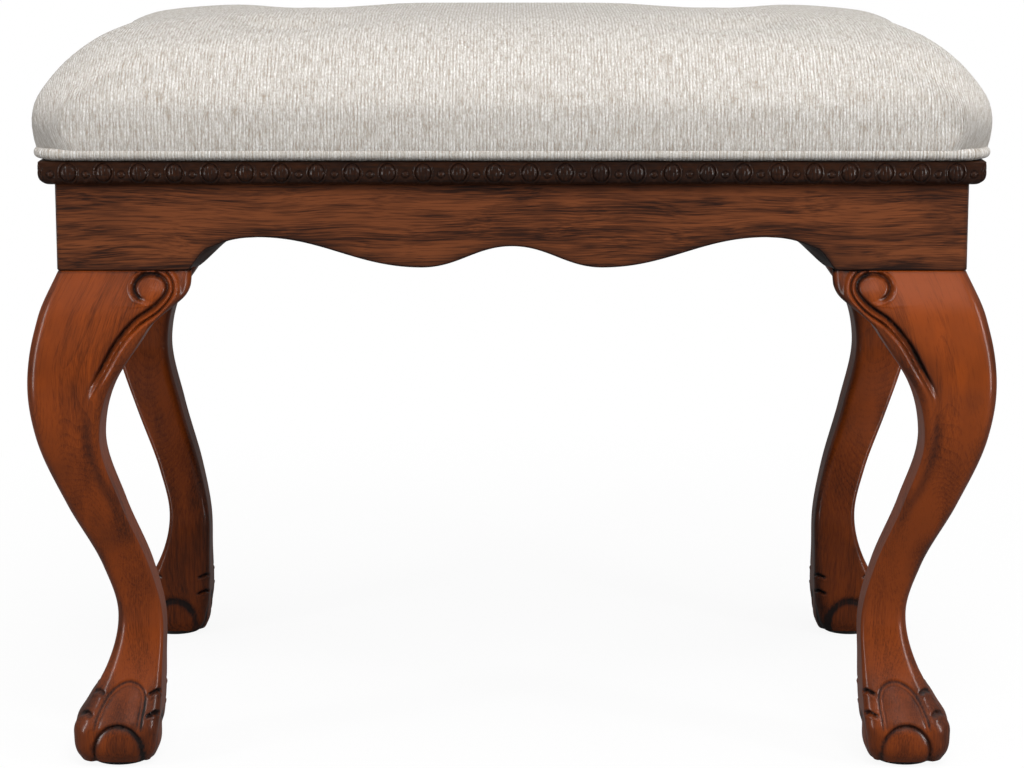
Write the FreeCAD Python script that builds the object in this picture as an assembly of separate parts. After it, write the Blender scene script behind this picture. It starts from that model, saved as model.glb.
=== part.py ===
import FreeCAD, Part
import math
import os

# Vanity stool, in millimetres. Origin on the floor under the middle of the seat,
# +X to the right, +Y to the back, +Z up, so the front faces -Y.

V = FreeCAD.Vector
UP = V(0, 0, 1)

# Apron box
apron_width = 572.0
apron_depth = 380.0
apron_height = 55.0
apron_thickness = 20.0
apron_underside = 327.0

# Scalloped lower edge, measured from the underside and from each end of an apron
scallop_leg_flat = 76.0
bracket_run = 29.0
bracket_rise = 19.0
peak_run = 21.0
peak_rise = 21.2
lobe_share = 0.27
lobe_rise = 2.0
centre_rise = 15.5
bezier_pull = 0.4

# Carved moulding on top of the aprons
moulding_height = 15.0
moulding_projection = 9.0
moulding_round = 7.0

# Legs: square sections, "out" past the apron's face and "inner" inside it
leg_top_width = 62.0
leg_top_radius = 3.0
# height above the floor, out, inner, corner radius
foot_stations = [
    (20.0, -1.0, 55.0, 20.0),
    (40.0, -6.0, 57.0, 16.0),
    (63.0, -20.0, 57.5, 11.0),
    (96.0, -28.2, 57.7, 8.0),
    (130.0, -20.3, 50.8, 8.0),
]
# drop below the apron, out, inner, corner radius
knee_stations = [
    (152.0, -1.0, 36.0, 8.0),
    (105.0, 15.2, 25.5, 8.0),
    (75.0, 19.0, 32.0, 8.0),
    (47.0, 16.6, 50.0, 7.0),
    (27.0, 11.8, 60.5, 4.0),
]
sole_out = -6.0
sole_inner = 52.0
sole_radius = 20.0
post_clearance = 3.0
post_chamfer = 12.0

# Knee ears, two to a leg
ear_reach = 85.0
ear_depth = 40.0
ear_tip_height = 6.0
ear_height = 28.0
ear_bulge = 4.0

# Glides and their nails
glide_radius = 18.0
glide_thickness = 4.0
glide_edge = 1.0
nail_radius = 1.25
nail_length = 18.0
nail_head_radius = 4.0
nail_head_height = 1.2

# Corner blocks
block_thickness = 22.0
block_base = 23.0
block_shortfall = 1.5

# Hanger bolts, washers and nuts
bolt_radius = 4.0
bolt_in_post = 30.0
bolt_past_nut = 3.0
washer_radius = 9.0
washer_thickness = 1.6
nut_across_flats = 13.0
nut_height = 6.5
hole_clearance = 0.5

# Wood screws
screw_radius = 2.0
screw_head_radius = 3.8
screw_head_height = 2.5
block_screw_length = 24.0
block_screw_left = 13.0
seat_screw_length = 50.0
seat_screw_left = 3.0
seat_screw_offset = 26.0
counterbore_clearance = 0.4

# Moulding brads
brad_radius = 0.8
brad_length = 38.0
brad_end_distance = 60.0
brad_spacing = 160.0

# Seat board, cover, welt
board_overhang = 5.0
board_thickness = 12.0
board_corner = 12.0
cover_thickness = 1.4
flange_width = 42.0
welt_radius = 3.5
welt_skin = 1.1
welt_cord_clearance = 0.1
welt_lift = 1.2
welt_gap = 0.2

# Cushion: half-outline stations from the welt up, as rise, inset from the widest line and corner radius
cushion_overhang = 16.0
crown_rise = 81.6
cushion_side = [
    (0.0, 3.4, 14.0),
    (15.6, 0.0, 22.0),
    (28.0, 1.4, 30.0),
    (36.0, 5.2, 36.0),
    (48.6, 14.6, 48.0),
    (60.6, 29.6, 65.0),
]
# the crown above the shoulder, as shares of the rise and of the half depth
crown_shares = [
    (0.88, 0.26),
    (0.963, 0.43),
    (1.0, 0.63),
]
crown_corner_share = 0.55
least_corner = 2.0
wadding_thickness = 8.0
layer_gap = 0.3

# Sewn tufts
tuft_inset_x = 160.0
tuft_inset_y = 111.0
tuft_depth = 21.0
tuft_rim_radius = 50.0
tuft_rim_lift = 2.0
tuft_seat_radius = 11.0
button_radius = 10.5
button_edge = 2.5
button_dome = 4.0
twine_radius = 1.2
twine_clearance = 0.3
anchor_radius = 9.0
anchor_thickness = 3.5
anchor_clearance = 0.5

# Dust cover and staples
dust_cover_thickness = 0.6
dust_cover_margin = 4.0
staple_wire = 0.6
staple_crown = 11.0
staple_leg = 8.0
cover_staple_spacing = 46.0
cover_staple_inset = 10.0
dust_staple_spacing = 74.0
dust_staple_inset = 3.0

# Worked out from the driving dimensions
half_width = apron_width / 2
half_depth = apron_depth / 2
apron_top = apron_underside + apron_height
frame_top = apron_top + moulding_height
board_bottom = frame_top + cover_thickness
board_top = board_bottom + board_thickness
board_half_x = half_width + board_overhang
board_half_y = half_depth + board_overhang
band_half_x = board_half_x + cover_thickness
band_half_y = board_half_y + cover_thickness
welt_height = frame_top + welt_lift + welt_radius
cushion_base = welt_height + welt_radius + welt_gap
cushion_half_x = half_width + cushion_overhang
cushion_half_y = half_depth + cushion_overhang
cushion_top = cushion_base + crown_rise
tuft_x = cushion_half_x - tuft_inset_x
tuft_y = cushion_half_y - tuft_inset_y
tuft_bottom = cushion_top - tuft_depth
block_bottom = apron_underside + block_base
block_top = frame_top - block_shortfall
post_diagonal = leg_top_width * math.sqrt(2) - post_chamfer
block_diagonal = post_diagonal + block_thickness
bolt_height = (block_bottom + block_top) / 2

CORNERS = {
    "front_left": (False, False),
    "front_right": (True, False),
    "back_left": (False, True),
    "back_right": (True, True),
}


def wire(edges):
    return Part.Wire(Part.__sortEdges__(edges))


def line(start, end):
    return Part.LineSegment(start, end).toShape()


def arc(start, middle, end):
    return Part.Arc(start, middle, end).toShape()


def bezier(poles):
    curve = Part.BezierCurve()
    curve.setPoles(poles)
    return curve.toShape()


def block(low, high):
    return Part.makeBox(high[0] - low[0], high[1] - low[1], high[2] - low[2], V(*low))


def rounded_wire(low_x, high_x, low_y, high_y, radii, z):
    """Rectangle of lines and corner arcs; radii run low-low, high-low, high-high, low-high."""
    corners = [(low_x, low_y), (high_x, low_y), (high_x, high_y), (low_x, high_y)]
    inward = [(1, 1), (-1, 1), (-1, -1), (1, -1)]
    starts = []
    ends = []
    middles = []
    for index, ((x, y), (dx, dy), r) in enumerate(zip(corners, inward, radii)):
        on_y_side = V(x, y + dy * r, z)
        on_x_side = V(x + dx * r, y, z)
        reach = r * (1 - math.sqrt(0.5))
        middles.append(V(x + dx * reach, y + dy * reach, z))
        if index % 2 == 0:
            starts.append(on_y_side)
            ends.append(on_x_side)
        else:
            starts.append(on_x_side)
            ends.append(on_y_side)
    edges = []
    for index in range(4):
        edges.append(arc(starts[index], middles[index], ends[index]))
        edges.append(line(ends[index], starts[(index + 1) % 4]))
    return Part.Wire(edges)


def centred_wire(half_x, half_y, radius, z):
    return rounded_wire(-half_x, half_x, -half_y, half_y, [radius] * 4, z)


def slab(half_x, half_y, radius, bottom, top):
    """Flat rounded rectangle about the Z axis."""
    return Part.Face(centred_wire(half_x, half_y, radius, bottom)).extrude(V(0, 0, top - bottom))


def from_corner(shape):
    """Move a piece from the corner's own frame (inward is +X, +Y) to the front left corner."""
    moved = shape.copy()
    moved.translate(V(-half_width, -half_depth, 0))
    return moved


def at_corner(shape, corner):
    to_right, to_back = CORNERS[corner]
    if to_right:
        shape = shape.mirror(V(0, 0, 0), V(1, 0, 0))
    if to_back:
        shape = shape.mirror(V(0, 0, 0), V(0, 1, 0))
    return shape


def at_all_corners(shape):
    return [at_corner(shape, corner) for corner in CORNERS]


def write(name, shape):
    shape.exportStep("parts/" + name + ".step")


def write_group(name, solids):
    write(name, Part.makeCompound(solids))


def scallop_edges(half_length):
    """Lower edge of an apron from its left end to its right end, in the XZ plane."""
    flat_end = half_length - scallop_leg_flat
    bracket_top = flat_end - bracket_run
    peak = bracket_top - peak_run
    lobe = lobe_share * flat_end
    z = apron_underside
    slope = bracket_rise / bracket_run
    kink = V(bracket_top - (peak_rise - bracket_rise) / slope, 0, z + peak_rise)

    def swing(start, end):
        pull = bezier_pull * (start.x - end.x)
        return bezier([start, start - V(pull, 0, 0), end + V(pull, 0, 0), end])

    corner = V(half_length, 0, z)
    flat_point = V(flat_end, 0, z)
    bracket_point = V(bracket_top, 0, z + bracket_rise)
    peak_point = V(peak, 0, z + peak_rise)
    lobe_point = V(lobe, 0, z + lobe_rise)
    centre_point = V(0, 0, z + centre_rise)
    right = [
        line(corner, flat_point),
        line(flat_point, bracket_point),
        bezier([bracket_point, kink, peak_point]),
        swing(peak_point, lobe_point),
        swing(lobe_point, centre_point),
    ]
    left = [edge.mirror(V(0, 0, 0), V(1, 0, 0)) for edge in right]
    return left + right


def mitre_wedge(half_length, half_across, outside, inside, bottom, top):
    """Plan of a front strip between two mitred corners."""
    points = [
        V(-half_length - outside, -half_across - outside, bottom),
        V(half_length + outside, -half_across - outside, bottom),
        V(half_length - inside, -half_across + inside, bottom),
        V(-half_length + inside, -half_across + inside, bottom),
    ]
    return Part.Face(Part.makePolygon(points + points[:1])).extrude(V(0, 0, top - bottom))


def apron_strip(half_length, half_across):
    top_left = V(-half_length, 0, apron_top)
    top_right = V(half_length, 0, apron_top)
    low_left = V(-half_length, 0, apron_underside)
    low_right = V(half_length, 0, apron_underside)
    sides = [line(low_left, top_left), line(top_left, top_right), line(top_right, low_right)]
    face = Part.Face(wire(sides + scallop_edges(half_length)))
    face.translate(V(0, -half_across, 0))
    strip = face.extrude(V(0, apron_thickness, 0))
    wedge = mitre_wedge(half_length, half_across, 0, apron_thickness, apron_underside, apron_top)
    return strip.common(wedge)


def moulding_strip(half_length, half_across):
    face_y = -half_across - moulding_projection
    inner_y = -half_across + apron_thickness
    round_z = apron_top + moulding_round
    round_y = face_y + moulding_round
    lean = moulding_round * (1 - math.sqrt(0.5))
    end_x = -half_length - moulding_projection
    profile = Part.Wire([
        line(V(end_x, inner_y, apron_top), V(end_x, inner_y, frame_top)),
        line(V(end_x, inner_y, frame_top), V(end_x, face_y, frame_top)),
        line(V(end_x, face_y, frame_top), V(end_x, face_y, round_z)),
        arc(V(end_x, face_y, round_z), V(end_x, face_y + lean, apron_top + lean),
            V(end_x, round_y, apron_top)),
        line(V(end_x, round_y, apron_top), V(end_x, inner_y, apron_top)),
    ])
    strip = Part.Face(profile).extrude(V(-2 * end_x, 0, 0))
    wedge = mitre_wedge(half_length, half_across, moulding_projection, apron_thickness,
                        apron_top, frame_top)
    return strip.common(wedge)


def on_side(strip, side):
    """Turn a strip made for the front, or for the left as if it were the front, to its side."""
    if side == "front":
        return strip
    if side == "back":
        return strip.mirror(V(0, 0, 0), V(0, 1, 0))
    turned = strip.copy()
    turned.rotate(V(0, 0, 0), UP, -90)
    if side == "right":
        return turned.mirror(V(0, 0, 0), V(1, 0, 0))
    return turned


def side_lengths(side):
    if side in ("front", "back"):
        return half_width, half_depth
    return half_depth, half_width


def brad_places(half_length, half_across):
    """Brads stand along the middle of a strip, evenly spaced about its centre."""
    reach = half_length - brad_end_distance
    count = max(2, int(2 * reach // brad_spacing) + 1)
    y = -half_across + apron_thickness / 2
    return [V(-reach + 2 * reach * step / (count - 1), y, 0) for step in range(count)]


def moulding_brads(half_length, half_across):
    bottom = frame_top - brad_length
    return [Part.makeCylinder(brad_radius, brad_length, place + V(0, 0, bottom), UP)
            for place in brad_places(half_length, half_across)]


def leg_section(z, out, inner, outer_radius, side_radius, inner_radius):
    return rounded_wire(-out, inner, -out, inner,
                        [outer_radius, side_radius, inner_radius, side_radius], z)


def leg_wires():
    wires = [leg_section(glide_thickness, sole_out, sole_inner, sole_radius, sole_radius, sole_radius)]
    for height, out, inner, radius in foot_stations:
        wires.append(leg_section(height, out, inner, radius, radius, radius))
    for drop, out, inner, radius in knee_stations:
        wires.append(leg_section(apron_underside - drop, out, inner, radius, radius, radius))
    wires.append(leg_section(apron_underside, 0, leg_top_width,
                             leg_top_radius, leg_top_radius, leg_top_radius))
    return wires


def diagonal_prism(near, far, bottom, top):
    """Region between two planes square to the corner's diagonal, at distances near and far."""
    spread = 4 * far
    along = V(math.sqrt(0.5), math.sqrt(0.5), 0)
    across = V(math.sqrt(0.5), -math.sqrt(0.5), 0)
    base = V(0, 0, bottom)
    points = [
        base + along * near - across * spread,
        base + along * near + across * spread,
        base + along * far + across * spread,
        base + along * far - across * spread,
    ]
    return Part.Face(Part.makePolygon(points + points[:1])).extrude(V(0, 0, top - bottom))


def diagonal_rod(radius, near, far):
    along = V(math.sqrt(0.5), math.sqrt(0.5), 0)
    return Part.makeCylinder(radius, far - near, along * near + V(0, 0, bolt_height), along)


def leg_post():
    post_top = frame_top - post_clearance
    post = block((apron_thickness, apron_thickness, apron_underside),
                 (leg_top_width, leg_top_width, post_top))
    corner_cut = diagonal_prism(post_diagonal, 2 * post_diagonal, apron_underside, post_top)
    return post.cut(corner_cut)


def glide_centre():
    middle = (sole_inner - sole_out) / 2
    return V(middle, middle, 0)


def glide_nail():
    head_bottom = glide_edge
    head = Part.makeCylinder(nail_head_radius, nail_head_height, glide_centre() + V(0, 0, head_bottom), UP)
    shank = Part.makeCylinder(nail_radius, nail_length, glide_centre() + V(0, 0, head_bottom), UP)
    return head.fuse(shank).removeSplitter()


def leg():
    shaft = Part.makeLoft(leg_wires(), True, False)
    whole = shaft.fuse(leg_post()).removeSplitter()
    whole = whole.cut(diagonal_rod(bolt_radius, post_diagonal - bolt_in_post, 2 * post_diagonal))
    return whole.cut(glide_nail())


def glide():
    disc = Part.makeCylinder(glide_radius, glide_thickness, glide_centre(), UP)
    rim = [edge for edge in disc.Edges if edge.BoundBox.ZMax < glide_edge and edge.Closed]
    disc = disc.makeFillet(glide_edge, rim)
    return disc.cut(glide_nail())


def knee_side_face(at_x):
    """Side view of the upper knee: its bulging front, the ear's back and the apron's underside."""
    points = [V(at_x, -out, apron_underside - drop) for drop, out, inner, radius in knee_stations[-3:]]
    points.append(V(at_x, 0, apron_underside))
    curve = Part.BSplineCurve()
    curve.interpolate(points)
    back_low = V(at_x, ear_depth, points[0].z)
    back_high = V(at_x, ear_depth, apron_underside)
    edges = [curve.toShape(), line(points[-1], back_high), line(back_high, back_low), line(back_low, points[0])]
    return Part.Face(Part.Wire(edges))


def ear(leg_solid):
    """Ear beside the leg, under the front apron, scribed to the leg's side."""
    low = apron_underside - ear_height
    tip_low = apron_underside - ear_tip_height
    root = leg_top_width - leg_top_radius
    middle = V((root + ear_reach) / 2 + ear_bulge, 0, (low + tip_low) / 2 - ear_bulge)
    outline = Part.Wire([
        line(V(root, 0, low), V(root, 0, apron_underside)),
        line(V(root, 0, apron_underside), V(ear_reach, 0, apron_underside)),
        line(V(ear_reach, 0, apron_underside), V(ear_reach, 0, tip_low)),
        arc(V(ear_reach, 0, tip_low), middle, V(root, 0, low)),
    ])
    face = Part.Face(outline)
    face.translate(V(0, ear_depth, 0))
    blank = face.extrude(V(0, -2 * ear_depth, 0))
    knee = knee_side_face(root).extrude(V(ear_reach, 0, 0))
    return blank.common(knee).cut(leg_solid)


def swap_sides(shape):
    """Mirror across the corner's diagonal, which turns a front ear into a side ear."""
    return shape.mirror(V(0, 0, 0), V(math.sqrt(0.5), -math.sqrt(0.5), 0))


def countersunk_screw(tip, direction, length):
    """Wood screw whose flat head ends at tip + length along direction."""
    head_start = length - screw_head_height
    shank = Part.makeCylinder(screw_radius, head_start, tip, direction)
    head = Part.makeCone(screw_radius, screw_head_radius, screw_head_height,
                         tip + direction * head_start, direction)
    return shank.fuse(head)


def screw_access(tip, direction, length, depth):
    return Part.makeCylinder(screw_head_radius + counterbore_clearance, depth, tip + direction * length, direction)


def block_screw_pose():
    """Tip and direction of the screw into the left apron, through the end of the block."""
    end_near = post_diagonal * math.sqrt(2) - apron_thickness
    end_far = block_diagonal * math.sqrt(2) - apron_thickness
    return V(apron_thickness - block_screw_left, (end_near + end_far) / 2, bolt_height), V(1, 0, 0)


def block_screws():
    first = countersunk_screw(*block_screw_pose(), block_screw_length)
    return [first, swap_sides(first)]


def seat_screw_pose():
    middle = (post_diagonal + block_diagonal) / 2 * math.sqrt(0.5)
    shift = seat_screw_offset * math.sqrt(0.5)
    return V(middle + shift, middle - shift, board_top - seat_screw_left), V(0, 0, -1)


def seat_screw():
    return countersunk_screw(*seat_screw_pose(), seat_screw_length)


def corner_block():
    body = diagonal_prism(post_diagonal, block_diagonal, block_bottom, block_top)
    reach = block_diagonal * math.sqrt(2)
    body = body.common(block((apron_thickness, apron_thickness, block_bottom), (reach, reach, block_top)))
    body = body.cut(diagonal_rod(bolt_radius + hole_clearance, 0, 2 * block_diagonal))
    access = screw_access(*block_screw_pose(), block_screw_length, reach)
    seat_access = screw_access(*seat_screw_pose(), seat_screw_length, block_top)
    tools = block_screws() + [access, swap_sides(access), seat_screw(), seat_access]
    for tool in tools:
        body = body.cut(tool)
    return body


def hanger_bolt():
    end = block_diagonal + washer_thickness + nut_height + bolt_past_nut
    return diagonal_rod(bolt_radius, post_diagonal - bolt_in_post, end)


def bolt_washer():
    disc = diagonal_rod(washer_radius, block_diagonal, block_diagonal + washer_thickness)
    return disc.cut(hanger_bolt())


def bolt_nut():
    start = block_diagonal + washer_thickness
    corner_radius = nut_across_flats / math.sqrt(3)
    points = [V(corner_radius * math.cos(math.pi * step / 3), corner_radius * math.sin(math.pi * step / 3), 0)
              for step in range(6)]
    nut = Part.Face(Part.makePolygon(points + points[:1])).extrude(V(0, 0, nut_height))
    nut.rotate(V(0, 0, 0), V(0, 1, 0), 90)
    nut.rotate(V(0, 0, 0), UP, 45)
    nut.translate(V(math.sqrt(0.5), math.sqrt(0.5), 0) * start + V(0, 0, bolt_height))
    return nut.cut(hanger_bolt())


def cushion_stations(inset, base):
    """Rise, inset and corner radius of each level of the cushion, drawn in by a layer's depth."""
    stations = list(cushion_side)
    for rise_share, inset_share in crown_shares:
        edge = inset_share * cushion_half_y
        corner = crown_corner_share * (cushion_half_y - edge)
        stations.append((rise_share * crown_rise, edge, corner))
    levels = []
    for index, (rise, edge, corner) in enumerate(stations):
        before = stations[max(index - 1, 0)]
        after = stations[min(index + 1, len(stations) - 1)]
        run = after[1] - before[1]
        climb = after[0] - before[0]
        length = math.hypot(run, climb)
        level_rise = rise - inset * run / length
        level_edge = edge + inset * climb / length
        if index == 0:
            level_rise = base - cushion_base
            level_edge = edge + inset
        if index == len(stations) - 1:
            level_rise = rise - inset
            level_edge = edge
        levels.append((level_rise, level_edge, max(corner - inset, least_corner)))
    return levels


def tuft_places():
    return [V(side * tuft_x, row * tuft_y, 0) for row in (-1, 1) for side in (-1, 1)]


def tuft_bell(place, inset):
    """Bell-shaped hollow of one tuft, grown by a layer's depth."""
    rim_z = cushion_top + tuft_rim_lift
    fall = rim_z - tuft_bottom
    run = tuft_rim_radius - tuft_seat_radius
    roll = (run * run + fall * fall) / (2 * fall)
    centre_z = rim_z - roll
    layer_roll = roll - inset
    seat_z = tuft_bottom - inset
    seat_radius = tuft_rim_radius - math.sqrt(layer_roll ** 2 - (seat_z - centre_z) ** 2)
    turn = (math.asin((seat_z - centre_z) / layer_roll) + math.pi / 2) / 2
    middle = V(tuft_rim_radius - layer_roll * math.cos(turn), 0, centre_z + layer_roll * math.sin(turn))
    seat_edge = V(seat_radius, 0, seat_z)
    rim = V(tuft_rim_radius, 0, centre_z + layer_roll)
    rim_top = V(tuft_rim_radius, 0, rim_z + inset + tuft_rim_lift)
    top = V(0, 0, rim_top.z)
    bottom = V(0, 0, seat_z)
    outline = Part.Wire([
        line(bottom, seat_edge),
        arc(seat_edge, middle, rim),
        line(rim, rim_top),
        line(rim_top, top),
        line(top, bottom),
    ])
    bell = Part.Face(outline).revolve(V(0, 0, 0), UP, 360)
    bell.translate(place)
    return bell


def twine_hole(place):
    depth = tuft_bottom - board_bottom
    return Part.makeCylinder(twine_radius + twine_clearance, depth, place + V(0, 0, board_bottom), UP)


def cushion(inset, base):
    """Crowned cushion with its tufts, drawn in by a layer's depth and standing on base."""
    wires = []
    for rise, edge, corner in cushion_stations(inset, base):
        wires.append(centred_wire(cushion_half_x - edge, cushion_half_y - edge, corner, cushion_base + rise))
    body = Part.makeLoft(wires, True, False)
    for place in tuft_places():
        body = body.cut(tuft_bell(place, inset))
    return body


def with_twine_holes(body):
    for place in tuft_places():
        body = body.cut(twine_hole(place))
    return body


def seat_cover(staples):
    band_corner = board_corner + cover_thickness
    inner_base = cushion_base + cover_thickness
    outside = cushion(0, cushion_base).fuse(slab(band_half_x, band_half_y, band_corner, frame_top, inner_base))
    inside = cushion(cover_thickness, inner_base)
    inside = inside.fuse(slab(board_half_x, board_half_y, board_corner, board_bottom, inner_base))
    opening = slab(board_half_x - flange_width, board_half_y - flange_width, board_corner,
                   frame_top, board_bottom)
    shell = outside.cut(inside).cut(opening).removeSplitter()
    return with_twine_holes(shell).cut(Part.makeCompound(staples))


def foam_pad():
    depth = cover_thickness + wadding_thickness + 2 * layer_gap
    return with_twine_holes(cushion(depth, board_top))


def wadding():
    outer_depth = cover_thickness + layer_gap
    base = cushion_base + outer_depth
    body = cushion(outer_depth, base)
    body = body.cut(cushion(outer_depth + wadding_thickness, board_top))
    board_space = slab(board_half_x + layer_gap, board_half_y + layer_gap, board_corner + layer_gap,
                       base, board_top)
    return with_twine_holes(body.cut(board_space))


def seat_board(staples):
    board = slab(board_half_x, board_half_y, board_corner, board_bottom, board_top)
    board = with_twine_holes(board)
    for place in tuft_places():
        recess = Part.makeCylinder(anchor_radius + anchor_clearance, anchor_thickness,
                                   place + V(0, 0, board_bottom), UP)
        board = board.cut(recess)
    for screw in at_all_corners(from_corner(seat_screw())):
        board = board.cut(screw)
    return board.cut(Part.makeCompound(staples))


def welt_ring(radius):
    """Round cord along the four sides of the seat, with quarter turns at the corners."""
    turn = board_corner + cover_thickness + welt_radius
    path_x = band_half_x + welt_radius
    path_y = band_half_y + welt_radius
    run_x = path_x - turn
    run_y = path_y - turn
    pieces = []
    for sign in (-1, 1):
        pieces.append(Part.makeCylinder(radius, 2 * run_x, V(-run_x, sign * path_y, welt_height), V(1, 0, 0)))
        pieces.append(Part.makeCylinder(radius, 2 * run_y, V(sign * path_x, -run_y, welt_height), V(0, 1, 0)))
    for quarter, (sign_x, sign_y) in enumerate([(1, 1), (-1, 1), (-1, -1), (1, -1)]):
        bend = Part.makeTorus(turn, radius, V(0, 0, 0), UP, 0, 360, 90)
        bend.rotate(V(0, 0, 0), UP, 90 * quarter)
        bend.translate(V(sign_x * run_x, sign_y * run_y, welt_height))
        pieces.append(bend)
    return pieces[0].fuse(pieces[1:]).removeSplitter()


def tuft_button(place):
    edge_z = tuft_bottom + button_edge
    top_z = edge_z + button_dome
    dome_radius = (button_radius ** 2 + button_dome ** 2) / (2 * button_dome)
    half_turn = math.asin(button_radius / dome_radius) / 2
    middle = V(dome_radius * math.sin(half_turn), 0, top_z - dome_radius * (1 - math.cos(half_turn)))
    outline = Part.Wire([
        line(V(0, 0, tuft_bottom), V(button_radius, 0, tuft_bottom)),
        line(V(button_radius, 0, tuft_bottom), V(button_radius, 0, edge_z)),
        arc(V(button_radius, 0, edge_z), middle, V(0, 0, top_z)),
        line(V(0, 0, top_z), V(0, 0, tuft_bottom)),
    ])
    button = Part.Face(outline).revolve(V(0, 0, 0), UP, 360)
    button.translate(place)
    return button


def tuft_twine(place):
    start = board_bottom + anchor_thickness
    return Part.makeCylinder(twine_radius, tuft_bottom - start, place + V(0, 0, start), UP)


def tuft_anchor(place):
    return Part.makeCylinder(anchor_radius, anchor_thickness, place + V(0, 0, board_bottom), UP)


def staple(place, along_x, crown_bottom):
    """Crown lying flat, with both legs driven upward."""
    reach = staple_crown / 2
    half_wire = staple_wire / 2
    crown = block((-reach, -half_wire, 0), (reach, half_wire, staple_wire))
    left_leg = block((-reach, -half_wire, 0), (-reach + staple_wire, half_wire, staple_leg))
    right_leg = block((reach - staple_wire, -half_wire, 0), (reach, half_wire, staple_leg))
    shape = crown.fuse([left_leg, right_leg]).removeSplitter()
    if not along_x:
        shape.rotate(V(0, 0, 0), UP, 90)
    shape.translate(place + V(0, 0, crown_bottom))
    return shape


def staple_line(half_x, half_y, spacing, crown_bottom):
    """Staples along the four sides of a rectangle, clear of its corners."""
    staples = []
    for half_run, half_across, along_x in ((half_x, half_y, True), (half_y, half_x, False)):
        reach = half_run - spacing / 2
        count = int(2 * reach // spacing) + 1
        start = -spacing * (count - 1) / 2
        for step in range(count):
            along = start + spacing * step
            for side in (-half_across, half_across):
                place = V(along, side, 0) if along_x else V(side, along, 0)
                staples.append(staple(place, along_x, crown_bottom))
    return staples


def dust_cover(staples):
    half_x = half_width - apron_thickness - dust_cover_margin
    half_y = half_depth - apron_thickness - dust_cover_margin
    sheet = slab(half_x, half_y, board_corner, frame_top - dust_cover_thickness, frame_top)
    for screw in at_all_corners(from_corner(seat_screw())):
        sheet = sheet.cut(screw)
    return sheet.cut(Part.makeCompound(staples))


def main():
    os.makedirs("parts", exist_ok=True)

    brads = []
    block_screw_solids = []
    for screw in block_screws():
        block_screw_solids += at_all_corners(from_corner(screw))
    screw_holes = Part.makeCompound(block_screw_solids)
    for side in ("front", "back", "left", "right"):
        half_length, half_across = side_lengths(side)
        side_brads = moulding_brads(half_length, half_across)
        brad_holes = Part.makeCompound(side_brads)
        apron = on_side(apron_strip(half_length, half_across).cut(brad_holes), side)
        write(side + "_apron", apron.cut(screw_holes))
        write(side + "_moulding", on_side(moulding_strip(half_length, half_across).cut(brad_holes), side))
        brads += [on_side(brad, side) for brad in side_brads]
    write_group("moulding_brads", brads)

    leg_solid = leg()
    front_ear = ear(leg_solid)
    pieces = {
        "leg": leg_solid,
        "front_ear": front_ear,
        "side_ear": swap_sides(front_ear),
        "corner_block": corner_block(),
        "glide": glide(),
    }
    for piece_name, piece in pieces.items():
        placed = from_corner(piece)
        for corner in CORNERS:
            write(corner + "_" + piece_name, at_corner(placed, corner))
    write_group("glide_nails", at_all_corners(from_corner(glide_nail())))
    write_group("hanger_bolts", at_all_corners(from_corner(hanger_bolt())))
    write_group("bolt_washers", at_all_corners(from_corner(bolt_washer())))
    write_group("bolt_nuts", at_all_corners(from_corner(bolt_nut())))
    write_group("corner_block_screws", block_screw_solids)
    write_group("seat_screws", at_all_corners(from_corner(seat_screw())))

    flange_inner_x = board_half_x - flange_width
    flange_inner_y = board_half_y - flange_width
    cover_staples = staple_line(flange_inner_x + cover_staple_inset, flange_inner_y + cover_staple_inset,
                                cover_staple_spacing, frame_top)
    dust_staples = staple_line(flange_inner_x + dust_staple_inset, flange_inner_y + dust_staple_inset,
                               dust_staple_spacing, frame_top - dust_cover_thickness - staple_wire)
    seat_staples = cover_staples + dust_staples
    write("seat_board", seat_board(seat_staples))
    write("foam_pad", foam_pad())
    write("wadding", wadding())
    write("seat_cover", seat_cover(seat_staples))
    write("dust_cover", dust_cover(dust_staples))
    write_group("cover_staples", cover_staples)
    write_group("dust_cover_staples", dust_staples)

    tube = welt_ring(welt_radius).cut(welt_ring(welt_radius - welt_skin))
    write("welt_cover", tube)
    write("welt_cord", welt_ring(welt_radius - welt_skin - welt_cord_clearance))

    for place, corner in zip(tuft_places(), CORNERS):
        write(corner + "_button", tuft_button(place))
    write_group("tuft_twines", [tuft_twine(place) for place in tuft_places()])
    write_group("tuft_anchors", [tuft_anchor(place) for place in tuft_places()])


main()
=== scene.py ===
"""Carved vanity stool.

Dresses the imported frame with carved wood, ribbed fabric, hardware finishes and studio light.
"""

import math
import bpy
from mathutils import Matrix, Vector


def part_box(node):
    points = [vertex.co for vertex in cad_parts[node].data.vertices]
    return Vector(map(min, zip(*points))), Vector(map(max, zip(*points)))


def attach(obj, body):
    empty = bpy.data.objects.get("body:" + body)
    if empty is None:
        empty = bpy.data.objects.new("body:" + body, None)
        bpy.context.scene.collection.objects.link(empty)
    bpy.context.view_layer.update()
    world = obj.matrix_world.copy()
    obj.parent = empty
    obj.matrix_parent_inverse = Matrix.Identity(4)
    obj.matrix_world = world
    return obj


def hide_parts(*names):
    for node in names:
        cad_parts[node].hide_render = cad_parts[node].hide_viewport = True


bl_info = {
    "name": "Vanity stool",
    "version": (1, 0, 0),
    "blender": (4, 5, 0),
    "location": "View3D > Sidebar > Stool",
    "description": "Carved legs, aprons and mouldings with a tufted seat, built around the stool's frame",
    "category": "Object",
}

import bmesh
import bpy
import numpy as np
from bpy.props import FloatProperty, FloatVectorProperty, IntProperty, PointerProperty

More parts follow.
